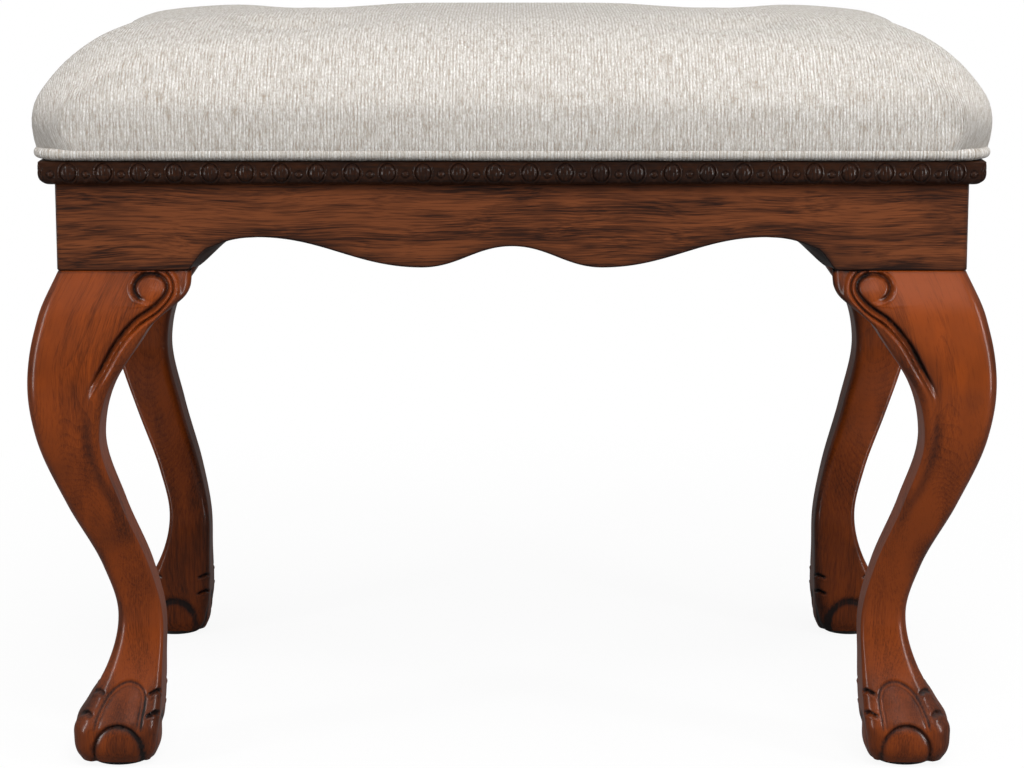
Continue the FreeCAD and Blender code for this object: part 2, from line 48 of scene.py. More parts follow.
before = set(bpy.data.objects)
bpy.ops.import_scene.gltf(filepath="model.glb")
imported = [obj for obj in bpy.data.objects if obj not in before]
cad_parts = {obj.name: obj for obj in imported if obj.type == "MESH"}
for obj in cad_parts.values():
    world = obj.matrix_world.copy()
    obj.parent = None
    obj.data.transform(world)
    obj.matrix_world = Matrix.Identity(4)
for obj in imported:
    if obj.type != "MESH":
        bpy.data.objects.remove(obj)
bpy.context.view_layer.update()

# Shapes are worked out in millimetres and written to meshes in metres.
MM = 0.001


def node_box(name):
    """Lowest and highest corner of a frame node, in millimetres."""
    low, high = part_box(name)
    return np.array(low) / MM, np.array(high) / MM


# Sizes that the frame gives
apron_low, apron_high = node_box("front_apron")
_, moulding_high = node_box("front_moulding")
leg_low, leg_high = node_box("front_left_leg")
_, ear_high = node_box("front_left_front_ear")
_, cover_high = node_box("seat_cover")
welt_low, welt_high = node_box("welt_cover")
board_low, board_high = node_box("seat_board")
dust_low, dust_high = node_box("dust_cover")

HALF_WIDTH = apron_high[0]
HALF_DEPTH = -apron_low[1]
APRON_THICKNESS = apron_high[1] - apron_low[1]
APRON_UNDERSIDE = apron_low[2]
APRON_TOP = apron_high[2]
MOULDING_PROJECTION = moulding_high[0] - HALF_WIDTH
FRAME_TOP = moulding_high[2]
SOLE = leg_low[2]
POST_TOP = leg_high[2]
EAR_DEPTH = ear_high[1] + HALF_DEPTH
CUSHION_HALF_X = cover_high[0]
CUSHION_HALF_Y = cover_high[1]
WELT_RADIUS = (welt_high[2] - welt_low[2]) / 2
WELT_HEIGHT = (welt_high[2] + welt_low[2]) / 2

CORNERS = {
    "front_left": (1, 1),
    "front_right": (-1, 1),
    "back_left": (1, -1),
    "back_right": (-1, -1),
}
SIDES = ("front", "back", "left", "right")

# Legs, as height, reach past the apron's face, reach inside it, outer corner radius, side corner radius
LEG_STATIONS = [
    (SOLE, -5.5, 51.5, 10.0, 12.0),
    (9.0, -2.4, 53.6, 12.0, 12.0),
    (20.0, -0.6, 55.0, 13.0, 11.0),
    (26.5, -0.9, 56.0, 12.5, 10.0),
    (40.0, -8.7, 57.0, 11.0, 8.0),
    (51.0, -15.0, 57.3, 10.0, 6.5),
    (63.0, -20.9, 57.5, 9.0, 5.0),
    (96.0, -28.2, 57.7, 8.0, 3.6),
    (130.0, -20.3, 50.8, 8.0, 3.6),
    (175.0, -1.0, 36.0, 8.0, 4.0),
    (222.0, 15.2, 25.5, 8.0, 5.0),
    (252.0, 19.0, 32.0, 8.0, 5.5),
    (280.0, 16.6, 50.0, 8.0, 4.5),
    (294.0, 13.4, 58.4, 8.0, 0.8),
    (300.0, 11.8, 60.5, 8.0, 0.2),
    (APRON_UNDERSIDE, 0.0, 62.0, 6.0, 0.2),
]
KNEE_HEIGHT = 252.0
INNER_RADIUS_LEAST = 6.0
LEG_TOP_EASE = 0.7
POST_OUT = -APRON_THICKNESS
POST_EDGE = 1.0
POST_INNER_RADIUS = 14.0

# Level spacing of a leg's mesh, as the height where each spacing ends and the spacing
LEG_LEVELS = [(58.0, 0.75), (225.0, 2.6), (296.0, 1.0), (APRON_UNDERSIDE - LEG_TOP_EASE, 0.6)]
FACE_COLUMNS = 84
INNER_COLUMNS = 26
ARC_COLUMNS = 9

# Knee scroll on a leg's outer faces, as distance along the face from the apron's corner, and height
SCROLL_CENTRE = (59.0, 317.0)
SCROLL_RADII = (10.4, 8.2)
SCROLL_TURN = (262.0, -28.0)
SCROLL_TAIL = [(62.8, 306.8), (50.0, 297.6), (38.0, 283.8), (28.5, 267.0), (19.5, 250.0), (16.0, 236.0)]
VALLEY = [(18.5, 246.0), (19.0, 217.0), (23.0, 197.0), (38.0, 162.0), (47.5, 143.0), (53.0, 118.0)]
VALLEY_DEPTH = 1.2

# Section of the scroll, as distance from its groove and width, and the heights where its fine groove begins
SCROLL_GROOVE = (0.0, 1.3)
SCROLL_INNER_ROLL = (2.5, 1.0)
SCROLL_FINE_GROOVE = (4.0, 0.7)
SCROLL_OUTER_ROLL = (6.2, 1.6)
SCROLL_HOLLOW = 5.0
FINE_GROOVE_START = (287.0, 297.0)

# Knee ears: outer edge as height and distance, where a leg's carving turns straight in beside them, and mesh
EAR_EDGE = [(292.6, 57.6), (299.9, 66.2), (305.4, 73.4), (310.9, 79.9), (317.1, 83.4), (322.0, 84.0)]
EAR_CUT = (287.0, 293.0)
EAR_ROUND = 7.0
EAR_LEAN = 4.5
EAR_JOINT = 0.02
EAR_ROW = 0.6
EAR_COLUMNS = 44
EAR_SIDE_COLUMNS = 8

# Foot: the ball's outline, the raised panel over it, the knuckles of the claws, where the darker foot and
# shin end and the painted shade of the outer corner begins, and the shallower ball on the inner faces
BALL_CENTRE = (30.4, 9.5)
BALL_RADII = (16.2, 19.2)
PANEL = [(15.6, 26.0), (16.6, 31.0), (18.4, 36.0), (22.0, 43.2), (26.6, 49.0), (31.3, 52.3), (36.6, 54.0),
         (41.6, 53.0), (45.3, 50.1), (47.0, 45.6), (46.8, 40.5), (45.6, 33.0), (44.8, 26.0)]
KNUCKLES = [(50.0, 2.0), (37.4, 2.6)]
KNUCKLE_SLANT = 0.38
KNUCKLE_SPAN = (6.0, 9.5)
FOOT_TOP = (48.0, 60.0)
SHIN_FADE = (60.0, 160.0)
CORNER_SHADE_START = (50.0, 70.0)
INNER_BALL_SHARE = 0.6
INNER_BALL_EDGE = 0.14
PANEL_FOOT = (24.0, 30.0)
PANEL_CROWN = 12.5

# Scalloped lower edge of an apron, measured from its underside and its ends
BRACKET_FRONT = [(80.0, 0.0), (82.6, 0.5), (86.7, 5.7), (91.7, 12.0), (99.4, 15.8), (107.0, 18.7),
                 (115.0, 20.4), (126.0, 21.2)]
BRACKET_BACK = [(80.0, 0.0), (87.0, 0.4), (90.0, 2.6), (97.2, 9.2), (105.0, 16.2), (110.0, 18.9),
                (116.0, 20.4), (126.0, 21.2)]
SCALLOP_LEG_FLAT = 76.0
LOBE_SHARE = 0.27
LOBE_RISE = 2.0
CENTRE_RISE = 15.5
SWING_PULL = 0.4
APRON_EASE = 1.6
APRON_END_EASE = 1.2
APRON_SPACING = 1.6
APRON_TOP_EASE = 0.4

# Carved moulding
MOULDING_ROUND = 7.0
MOULDING_EASE = 0.8
MOULDING_END_EASE = 1.0
MOULDING_SPACING = 0.62
OVAL_PITCH = 22.1
OVAL_RADII = (5.0, 6.0)
OVAL_HEIGHT = 389.7
OVAL_EGG = 0.92
OVAL_LEAN = 0.10
BEAD_HEIGHT = 388.6
BEAD_RADIUS = 1.8
BEAD_END = 7.7
DROP_BELOW = 4.6
DROP_RADIUS = 1.2
LEAF_ABOVE = 5.2
LEAF_RADII = (2.6, 1.5)

# How far the grain moves on from one leg, or strip, to the next
LEG_GRAIN_STEP = (0.0, 7.0, 61.0)
STRIP_GRAIN_STEP = (0.0, 0.0, 700.0)

# Cushion side and crown, as rise above the welt and inset from the widest line
CUSHION_BASE = WELT_HEIGHT + WELT_RADIUS + 0.2
CUSHION_LIP = 2.7
CUSHION_PROFILE = [
    (-1.3, 3.4), (1.5, 2.9), (5.0, 1.6), (10.0, 0.4), (15.6, 0.0), (22.0, 0.35), (28.0, 1.5), (32.5, 3.3),
    (36.0, 5.3), (42.6, 9.9), (48.6, 14.8), (53.3, 19.6), (57.3, 24.6), (60.9, 29.8), (65.0, 39.0),
    (68.7, 50.0), (71.6, 65.0), (73.4, 82.0), (73.9, 105.0), (73.9, 140.0), (73.9, 175.0), (73.9, 197.0),
]
CUSHION_RINGS = 52
CUSHION_CORNER = 22.0
CUSHION_CORNER_GROWTH = 1.45
CUSHION_CORNER_SHARE = 0.94
CUSHION_STEP = 5.5

# Heights over which the cover comes loose from its lower edge, the padding thickens, and the tufts take hold
LOOSE_HEIGHTS = (CUSHION_BASE + 1.0, CUSHION_BASE + 7.0)
PADDING_HEIGHTS = (CUSHION_BASE + 15, CUSHION_BASE + 60)
TUFT_HEIGHTS = (CUSHION_BASE + 45, CUSHION_BASE + 60)
TUFT_RIM = 41.0
TUFT_FLOOR = 9.0
TUFT_HELD = 15.0
TUFT_FALL = 1.05

# Fall of the crown towards front and back: depth, span across the seat, and where it fades towards the ends
CROWN_FALL = 4.5
CROWN_FALL_SPAN = (80.0, 165.0)
CROWN_FALL_END = (185.0, 255.0)

# Cover where it wraps the seat board
FLANGE_WIDTH = 42.0
BOARD_CORNER_CENTRE = 279.0
BOARD_CORNER = board_high[0] - BOARD_CORNER_CENTRE
BOARD_CORNER_LEAST = 6.0
COVER_BAND = 1.4
SEAT_GAP = 0.2

# Swelling of the cushion; the cap is in metres
SWELL_FRAMES = 20
SWELL_PRESSURE = 4.0
SWELL_CAP = 0.0024
SWELL_ROOM = 1.3

# Welt, with the dent of its seam; buttons, as share of radius and of height; dust cover
WELT_CORNER = 16.9
WELT_FRONT_COLUMNS = 90
WELT_END_COLUMNS = 60
WELT_FACETS = 28
WELT_SEAM = 0.45
WELT_SEAM_PLACE = math.radians(112)
BUTTON_OUTLINE = [(0.80, 0.0), (0.96, 0.06), (1.0, 0.26), (0.97, 0.44), (0.86, 0.66), (0.66, 0.84),
                  (0.42, 0.95), (0.16, 1.0)]
FABRIC_SHARP = 70
DUST_STEP = 4.0
DUST_SAG = 1.6
DUST_PUCKER = 0.35
DUST_PUCKER_PITCH = 37.0

# Stage, in metres but for the camera's sensor
FLOOR_REACH = 40.0
VIEW_REACH = 100.0
SENSOR_WIDTH = 36.0


class StoolWood(bpy.types.PropertyGroup):
    """Colours of the woods and depths of the carving"""
    leg_light: FloatVectorProperty(
        name="Leg light", description="Light wood between the legs' grain lines", subtype="COLOR",
        size=3, min=0, max=1, default=(0.232, 0.044, 0.0055))
    leg_dark: FloatVectorProperty(
        name="Leg dark", description="Dark grain of the legs", subtype="COLOR",
        size=3, min=0, max=1, default=(0.052, 0.011, 0.003))
    apron_light: FloatVectorProperty(
        name="Apron light", description="Light wood between the aprons' grain lines", subtype="COLOR",
        size=3, min=0, max=1, default=(0.168, 0.049, 0.017))
    apron_dark: FloatVectorProperty(
        name="Apron dark", description="Dark grain of the aprons", subtype="COLOR",
        size=3, min=0, max=1, default=(0.024, 0.009, 0.0055))
    moulding_light: FloatVectorProperty(
        name="Moulding light", description="Raised wood of the mouldings", subtype="COLOR",
        size=3, min=0, max=1, default=(0.042, 0.0135, 0.005))
    moulding_dark: FloatVectorProperty(
        name="Moulding dark", description="Dark grain of the mouldings", subtype="COLOR",
        size=3, min=0, max=1, default=(0.015, 0.007, 0.004))
    # Colour of the glaze wiped into the carving, and also of the painted shade along edges, joints and
    # hollows that the same mask carries.
    glaze_and_shade: FloatVectorProperty(
        name="Glaze", description="Dark glaze wiped into the carving", subtype="COLOR",
        size=3, min=0, max=1, default=(0.012, 0.006, 0.005))
    scroll_depth: FloatProperty(
        name="Scroll depth", description="Depth of the groove round the knee scroll",
        default=0.0019, unit="LENGTH")
    ball_rise: FloatProperty(
        name="Ball rise", description="How far the ball stands out between the claws",
        default=0.0042, unit="LENGTH")
    panel_rise: FloatProperty(
        name="Panel rise", description="How far the panel over the ball stands out",
        default=0.0017, unit="LENGTH")


class StoolSeat(bpy.types.PropertyGroup):
    """Colours and yarn of the seat's fabric, and its tufts"""
    yarn_pale: FloatVectorProperty(
        name="Pale yarn", description="Lightest yarn of the fabric", subtype="COLOR",
        size=3, min=0, max=1, default=(0.815, 0.808, 0.790))
    yarn_grey: FloatVectorProperty(
        name="Grey yarn", description="Main yarn of the fabric", subtype="COLOR",
        size=3, min=0, max=1, default=(0.525, 0.510, 0.485))
    yarn_tan: FloatVectorProperty(
        name="Tan yarn", description="Darkest yarn of the fabric", subtype="COLOR",
        size=3, min=0, max=1, default=(0.315, 0.252, 0.192))
    rib_pitch: FloatProperty(
        name="Rib pitch", description="Distance between the fabric's ribs", default=0.0021, unit="LENGTH")
    tuft_depth: FloatProperty(
        name="Tuft depth", description="How deep the tufts are drawn in", default=0.0135, unit="LENGTH")
    button_facets: IntProperty(
        name="Button facets", description="Sides of each round button", default=48)


class StoolStage(bpy.types.PropertyGroup):
    """Camera, floor and light"""
    camera_distance: FloatProperty(
        name="Camera distance", description="From the stool's middle to the camera, along the floor",
        default=2.0019, unit="LENGTH")
    camera_height: FloatProperty(
        name="Camera height", description="Camera above the floor", default=0.5863, unit="LENGTH")
    camera_tilt: FloatProperty(
        name="Camera tilt", description="Camera's lean from looking straight down",
        default=math.radians(79.633), unit="ROTATION")
    lens: FloatProperty(
        name="Lens", description="Focal length on a 36 mm sensor, in millimetres", default=102.29)
    sky: FloatProperty(
        name="Sky light", description="Strength of the world light overhead", default=0.55)
    horizon: FloatProperty(
        name="Horizon light", description="Strength of the world light at the horizon", default=0.10)
    floor_shine: FloatProperty(
        name="Floor in reflections", description="Share of the white floor that reflections show",
        default=0.05)
    window_power: FloatProperty(
        name="Window power", description="Watts of the tall light on each side of the stool", default=9.5)
    top_power: FloatProperty(
        name="Top power", description="Watts of the light over the seat", default=9.0)
    front_power: FloatProperty(
        name="Front power", description="Watts of the main light over the camera", default=36.0)
    floor_colour: FloatVectorProperty(
        name="Floor", description="Colour of the pale floor", subtype="COLOR",
        size=3, min=0, max=1, default=(0.14, 0.14, 0.14))


def smooth_step(low, high, value):
    """Rise from nought to one between two values, level at both ends."""
    share = np.clip((np.asarray(value, float) - low) / (high - low), 0, 1)
    return share * share * (3 - 2 * share)


def bump(value, middle, width):
    """Rounded hill of height one."""
    return np.exp(-((value - middle) / width) ** 2)


def smooth_through(stations, at):
    """Values at some places of a smooth curve through stations of (place, values...)."""
    stations = np.asarray(stations, float)
    at = np.asarray(at, float)
    places = stations[:, 0]
    values = stations[:, 1:]
    slopes = np.gradient(values, places, axis=0)
    index = np.clip(np.searchsorted(places, at, side="right") - 1, 0, len(places) - 2)
    span = (places[index + 1] - places[index])[:, None]
    share = (at - places[index])[:, None] / span
    rest = 1 - share
    return (values[index] * (1 + 2 * share) * rest ** 2
            + slopes[index] * span * share * rest ** 2
            + values[index + 1] * (3 - 2 * share) * share ** 2
            - slopes[index + 1] * span * share ** 2 * rest)


def run_lengths(points):
    """Length along a line of points, up to each of them."""
    return np.concatenate([[0], np.cumsum(np.linalg.norm(np.diff(points, axis=0), axis=1))])


def oval_distance(spots, centre, radii):
    """Distance of spots from an oval's centre, as a share of its radii."""
    return np.hypot((spots[:, 0] - centre[0]) / radii[0], (spots[:, 1] - centre[1]) / radii[1])


def curve_through(points, count):
    """Evenly sampled smooth curve through points, by the length along them."""
    points = np.asarray(points, float)
    reach = run_lengths(points)
    stations = np.column_stack([reach, points])
    return smooth_through(stations, np.linspace(0, reach[-1], count))


def beside_path(points, path):
    """Distance to a path, positive on the left of its run, and the length along it of the nearest spot."""
    steps = np.diff(path, axis=0)
    lengths = np.linalg.norm(steps, axis=1)
    reach = run_lengths(path)
    nearest = np.full(len(points), np.inf)
    signed = np.zeros(len(points))
    along = np.zeros(len(points))
    for start, step, length, before in zip(path[:-1], steps, lengths, reach):
        offset = points - start
        share = np.clip(offset @ step / length ** 2, 0, 1)
        gap = offset - share[:, None] * step
        distance = np.hypot(gap[:, 0], gap[:, 1])
        left = step[0] * offset[:, 1] - step[1] * offset[:, 0] > 0
        closer = distance < nearest
        nearest[closer] = distance[closer]
        signed[closer] = np.where(left, distance, -distance)[closer]
        along[closer] = (before + share * length)[closer]
    return signed, along


def grid_faces(rows, columns):
    """Quads of a grid that closes on itself along its columns."""
    row, column = np.meshgrid(np.arange(rows - 1), np.arange(columns), indexing="ij")
    after = (column + 1) % columns
    quads = np.stack([row * columns + column, row * columns + after,
                      (row + 1) * columns + after, (row + 1) * columns + column], axis=-1)
    return quads.reshape(-1, 4).tolist()


def capped_faces(rows, columns):
    """Quads of a closed grid with a face over each end."""
    faces = grid_faces(rows, columns)
    faces.append(list(range(columns))[::-1])
    faces.append(list(range((rows - 1) * columns, rows * columns)))
    return faces


def carved_shape(points, glaze_and_shade):
    """Points, glaze and painted shade, and faces of a closed grid of carved points."""
    return points.reshape(-1, 3), np.clip(glaze_and_shade, 0, 1).ravel(), capped_faces(*glaze_and_shade.shape)


def spread(values, columns):
    """Repeats each row's value over its columns."""
    return np.repeat(values[:, None], columns, axis=1)


def add_values(mesh, name, values):
    """Stores one number, or one vector, for each point of a mesh."""
    values = np.asarray(values, float)
    kind = "FLOAT" if values.ndim == 1 else "FLOAT_VECTOR"
    field = "value" if values.ndim == 1 else "vector"
    layer = mesh.attributes.new(name, kind, "POINT")
    layer.data.foreach_set(field, values.ravel())


def new_mesh(name, points, faces, sharp_angle=50):
    """Mesh from points in millimetres, smooth but for edges beyond an angle in degrees."""
    mesh = bpy.data.meshes.new(name)
    mesh.from_pydata((np.asarray(points, float) * MM).tolist(), [], faces)
    mesh.shade_smooth()
    mesh.set_sharp_from_angle(angle=math.radians(sharp_angle))
    return mesh


def weld(mesh):
    """Joins points that share a place, such as those gathered at a mitre."""
    work = bmesh.new()
    work.from_mesh(mesh)
    bmesh.ops.remove_doubles(work, verts=work.verts, dist=0.00001)
    bmesh.ops.dissolve_degenerate(work, edges=work.edges, dist=0.00001)
    work.to_mesh(mesh)
    work.free()


def new_piece(mesh, material, slot, *nodes):
    """Puts a mesh in the scene, on the stool's body, in place of frame nodes."""
    piece = bpy.data.objects.new(mesh.name, mesh)
    bpy.context.scene.collection.objects.link(piece)
    mesh.materials.append(material)
    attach(piece, "root")
    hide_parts(*nodes)
    return piece


def to_corner(points, corner):
    """Moves points from a corner's own frame (inward is +X, +Y) to that corner of the stool."""
    sign_x, sign_y = CORNERS[corner]
    moved = np.array(points, float)
    moved[:, 0] = sign_x * (moved[:, 0] - HALF_WIDTH)
    moved[:, 1] = sign_y * (moved[:, 1] - HALF_DEPTH)
    return moved


def corner_faces(faces, corner):
    """Faces keep their outside when a corner is a mirror image."""
    sign_x, sign_y = CORNERS[corner]
    if sign_x * sign_y > 0:
        return faces
    return [face[::-1] for face in faces]


def to_side(points, side):
    """Turns points of a strip made for the front to its side of the stool."""
    x, y, z = np.asarray(points, float).T
    if side == "front":
        return np.column_stack([x, y, z])
    if side == "back":
        return np.column_stack([-x, -y, z])
    if side == "left":
        return np.column_stack([y, -x, z])
    return np.column_stack([-y, x, z])


def side_lengths(side):
    """Half the length of a side of the stool, and half the stool's reach across it."""
    if side in ("front", "back"):
        return HALF_WIDTH, HALF_DEPTH
    return HALF_DEPTH, HALF_WIDTH


class Tree:
    """Short way to add and join the shader nodes of a material or world."""

    def __init__(self, owner, shader):
        owner.use_nodes = True
        self.owner = owner
        self.nodes = owner.node_tree.nodes
        self.links = owner.node_tree.links
        self.shader = self.nodes[shader]

    def node(self, kind, settings=(), **inputs):
        """Adds a node with its settings and inputs."""
        made = self.nodes.new(kind)
        for name, value in dict(settings).items():
            setattr(made, name, value)
        for name, value in inputs.items():
            self.feed(made.inputs[name.replace("_", " ")], value)
        return made

    def feed(self, socket, value):
        """Links a socket to another, or sets its value."""
        if isinstance(value, bpy.types.NodeSocket):
            self.links.new(value, socket)
        else:
            socket.default_value = value

    def math(self, operation, first, second=0.0, clamp=False):
        """Result of a sum on one or two numbers."""
        made = self.node("ShaderNodeMath", [("operation", operation), ("use_clamp", clamp)])
        self.feed(made.inputs[0], first)
        self.feed(made.inputs[1], second)
        return made.outputs[0]

    def vector_math(self, operation, first, second):
        """Outputs of a sum on two vectors."""
        made = self.node("ShaderNodeVectorMath", [("operation", operation)])
        self.feed(made.inputs[0], first)
        self.feed(made.inputs[1], second)
        return made.outputs

    def scaled(self, vector, scale):
        """Vector with its own scale along each axis."""
        return self.vector_math("MULTIPLY", vector, scale)[0]

    def distance(self, vector, point):
        """Distance of a vector from a fixed point."""
        return self.vector_math("DISTANCE", vector, point)["Value"]

    def swayed(self, vector, scale, amount):
        """Vector bent sideways by slow noise along it."""
        slow = self.scaled(vector, (1, 1, 0.35))
        drift = self.node("ShaderNodeTexNoise", Vector=slow, Scale=scale, Detail=1.0).outputs["Color"]
        centred = self.vector_math("SUBTRACT", drift, (0.5, 0.5, 0.5))[0]
        return self.vector_math("ADD", vector, self.scaled(centred, (amount, amount, 0)))[0]

    def place(self):
        """Place on the object, in metres."""
        return self.node("ShaderNodeTexCoord").outputs["Object"]

    def noise(self, vector, scale, detail=2.0, roughness=0.5):
        """Cloudy number between nought and one."""
        made = self.node("ShaderNodeTexNoise", Vector=vector, Scale=scale, Detail=detail, Roughness=roughness)
        return made.outputs["Fac"]

    def span(self, value, low, high, start, end):
        """Number moved from one range to another, and kept inside it."""
        made = self.node("ShaderNodeMapRange", [("clamp", True)])
        for socket, entry in zip(made.inputs, (value, low, high, start, end)):
            self.feed(socket, entry)
        return made.outputs["Result"]

    def mix(self, share, first, second):
        """Colour between two colours."""
        made = self.node("ShaderNodeMix", [("data_type", "RGBA"), ("blend_type", "MIX")])
        self.feed(made.inputs["Factor"], share)
        for name, value in (("A", first), ("B", second)):
            socket = [entry for entry in made.inputs if entry.name == name and entry.type == "RGBA"][0]
            self.feed(socket, value)
        return [entry for entry in made.outputs if entry.type == "RGBA"][0]

    def values(self, name, output="Fac"):
        """Numbers or vectors stored on the mesh's points."""
        made = self.node("ShaderNodeAttribute", [("attribute_name", name)])
        return made.outputs[output]

    def relief(self, height, distance, strength):
        """Fine bump of the surface."""
        made = self.node("ShaderNodeBump", Strength=strength, Distance=distance, Height=height)
        self.links.new(made.outputs["Normal"], self.shader.inputs["Normal"])

    def set(self, **inputs):
        """Feeds the shader's own sockets."""
        for name, value in inputs.items():
            self.feed(self.shader.inputs[name.replace("_", " ")], value)

    def blend(self, share, other, output):
        """Shows another shader by a share, in place of the tree's own."""
        made = self.nodes.new("ShaderNodeMixShader")
        for socket, value in zip(made.inputs, (share, self.shader.outputs[0], other.outputs[0])):
            self.feed(socket, value)
        self.links.new(made.outputs[0], self.nodes[output].inputs["Surface"])


def material_tree(name):
    """Tree of a new material."""
    return Tree(bpy.data.materials.new(name), "Principled BSDF")


def rgba(colour):
    """Colour with full cover."""
    return (*colour, 1.0)


def wood(name, light, dark, glaze_and_shade, pith, ring_spacing, streaks=(0.75, 0.035), pores=(1.8, 0.07),
         depths=(0.30, 0.34, 0.40), bands=(0.07, 0.28), glaze_and_shade_share=0.9, roughness=(0.42, 0.58),
         coat=(0.55, 0.22), own_grain=True):
    """Polished wood: growth rings round a pith, streaks and pores along the grain, glaze in the carving and
    painted shade, both from the mesh's mask.
    """
    tree = material_tree(name)
    if own_grain:
        grain = tree.values("grain", "Vector")
    else:
        grain = tree.scaled(tree.place(), (1 / MM, 1 / MM, 1 / MM))
    ring_depth, streak_depth, pore_depth = depths
    grain = tree.swayed(grain, 0.035, 9.0)
    warp = tree.noise(tree.scaled(grain, (1, 1, 0.12)), 0.04, 2.0)
    from_pith = tree.distance(tree.scaled(grain, (1, 1, 0)), (*pith, 0))
    ring_place = tree.math("DIVIDE", from_pith, ring_spacing)
    ring_place = tree.math("ADD", ring_place, tree.math("MULTIPLY", warp, 1.6))
    ring = tree.math("POWER", tree.math("FRACT", ring_place), 3.0)
    band_scale, band_depth = bands
    broad = tree.noise(tree.scaled(grain, (1, 1, 0.07)), band_scale, 2.0)
    streak = tree.noise(tree.scaled(grain, (1, 1, streaks[1])), streaks[0], 3.0, 0.65)
    pore = tree.noise(tree.scaled(grain, (1, 1, pores[1])), pores[0], 2.0, 0.6)
    depth = tree.math("MULTIPLY", ring, ring_depth)
    depth = tree.math("ADD", depth, tree.span(streak, 0.32, 0.70, 0.0, 2 * streak_depth))
    depth = tree.math("ADD", depth, tree.span(pore, 0.32, 0.68, -0.5 * pore_depth, 0.5 * pore_depth))
    depth = tree.math("ADD", depth, tree.span(broad, 0.36, 0.66, -band_depth, band_depth), clamp=True)
    body = tree.mix(depth, rgba(light), rgba(dark))
    if own_grain:
        patch = tree.noise(tree.scaled(grain, (1, 1, 0.5)), 0.035, 3.0)
        # The mesh's mask holds glaze in the carving and painted shade along edges, joints and hollows.
        wiped_and_shaded = tree.math("MULTIPLY", tree.values("glaze_and_shade"), glaze_and_shade_share)
        wiped_and_shaded = tree.math("ADD", wiped_and_shaded, tree.span(patch, 0.48, 0.72, 0.0, 0.40))
        shade = tree.math("MULTIPLY", wiped_and_shaded, tree.span(streak, 0.3, 0.7, 0.80, 1.1), clamp=True)
        body = tree.mix(shade, body, rgba(glaze_and_shade))
    tree.set(Base_Color=body, Roughness=tree.span(streak, 0.3, 0.7, *roughness))
    tree.set(Coat_Weight=coat[0], Coat_Roughness=coat[1], Specular_IOR_Level=0.06)
    tree.relief(tree.math("ADD", pore, streak), 0.00005, 0.4)
    return tree.owner


def fabric(seat):
    """Ribbed chenille: straight ribs along one yarn, mottled in pale, grey and tan lengths."""
    tree = material_tree("ribbed_chenille")
    place = tree.values("weave", "Vector")
    across = tree.node("ShaderNodeSeparateXYZ", Vector=place).outputs["X"]
    sway = tree.noise(tree.scaled(place, (0.5, 0.10, 1)), 1.0, 2.0)
    shifted = tree.math("ADD", across, tree.math("MULTIPLY", sway, 1.3))
    turn = tree.math("MULTIPLY", shifted, 2 * math.pi * MM / seat.rib_pitch)
    rib = tree.span(tree.math("SINE", turn), -1.0, 1.0, 0.0, 1.0)
    fleck = tree.noise(tree.scaled(place, (0.85, 0.09, 1)), 1.0, 3.0, 0.80)
    cloud = tree.noise(tree.scaled(place, (0.20, 0.04, 1)), 1.0, 2.0)
    tuft = tree.noise(tree.scaled(place, (1.3, 0.45, 1)), 1.0, 2.0, 0.7)
    tone = tree.math("ADD", fleck, tree.span(cloud, 0.35, 0.65, -0.025, 0.025))
    colour = tree.mix(tree.span(tone, 0.36, 0.60, 0.0, 1.0), rgba(seat.yarn_pale), rgba(seat.yarn_grey))
    colour = tree.mix(tree.span(tone, 0.52, 0.74, 0.0, 1.0), colour, rgba(seat.yarn_tan))
    colour = tree.mix(tree.span(tuft, 0.32, 0.62, 0.62, 0.0), colour, rgba(seat.yarn_tan))
    valley = tree.span(rib, 0.0, 0.5, 0.46, 0.0)
    colour = tree.mix(valley, colour, rgba(seat.yarn_tan))
    height = tree.math("ADD", tree.math("MULTIPLY", rib, 0.6), tree.math("MULTIPLY", tuft, 0.9))
    tree.set(Base_Color=colour, Roughness=tree.span(tuft, 0.3, 0.7, 0.80, 0.95))
    tree.set(Sheen_Weight=0.15, Sheen_Roughness=0.45, Specular_IOR_Level=0.15)
    tree.relief(height, 0.0008, 0.9)
    return tree.owner


def dust_cloth():
    """Black non-woven cloth with a pressed dot grain."""
    tree = material_tree("dust_cloth")
    place = tree.place()
    fibre = tree.noise(tree.scaled(place, (1, 1, 0.2)), 900.0, 3.0)
    dots = tree.node("ShaderNodeTexVoronoi", Vector=place, Scale=520.0).outputs["Distance"]
    tone = tree.mix(fibre, (0.010, 0.010, 0.011, 1), (0.034, 0.034, 0.036, 1))
    tree.set(Base_Color=tone, Roughness=tree.span(fibre, 0.3, 0.7, 0.75, 0.95), Sheen_Weight=0.2)
    tree.relief(dots, 0.0003, 0.6)
    return tree.owner


def moulded_plastic(name, colour, deep):
    """Moulded plastic with a fine grained skin."""
    tree = material_tree(name)
    place = tree.place()
    grain = tree.noise(place, 1400.0, 2.0)
    cloud = tree.noise(place, 90.0, 3.0)
    tree.set(Base_Color=tree.mix(cloud, rgba(deep), rgba(colour)))
    tree.set(Roughness=tree.span(cloud, 0.3, 0.7, 0.38, 0.58))
    tree.relief(grain, 0.00008, 0.5)
    return tree.owner


def zinc_steel():
    """Zinc plated steel with cloudy plating and fine drawing lines."""
    tree = material_tree("zinc_steel")
    place = tree.place()
    cloud = tree.noise(place, 160.0, 3.0)
    lines = tree.noise(tree.scaled(place, (1, 1, 0.1)), 2600.0, 1.0)
    tone = tree.mix(cloud, (0.40, 0.41, 0.43, 1), (0.66, 0.66, 0.64, 1))
    tree.set(Base_Color=tone, Roughness=tree.span(cloud, 0.3, 0.7, 0.24, 0.42), Metallic=1.0)
    tree.relief(lines, 0.00003, 0.4)
    return tree.owner


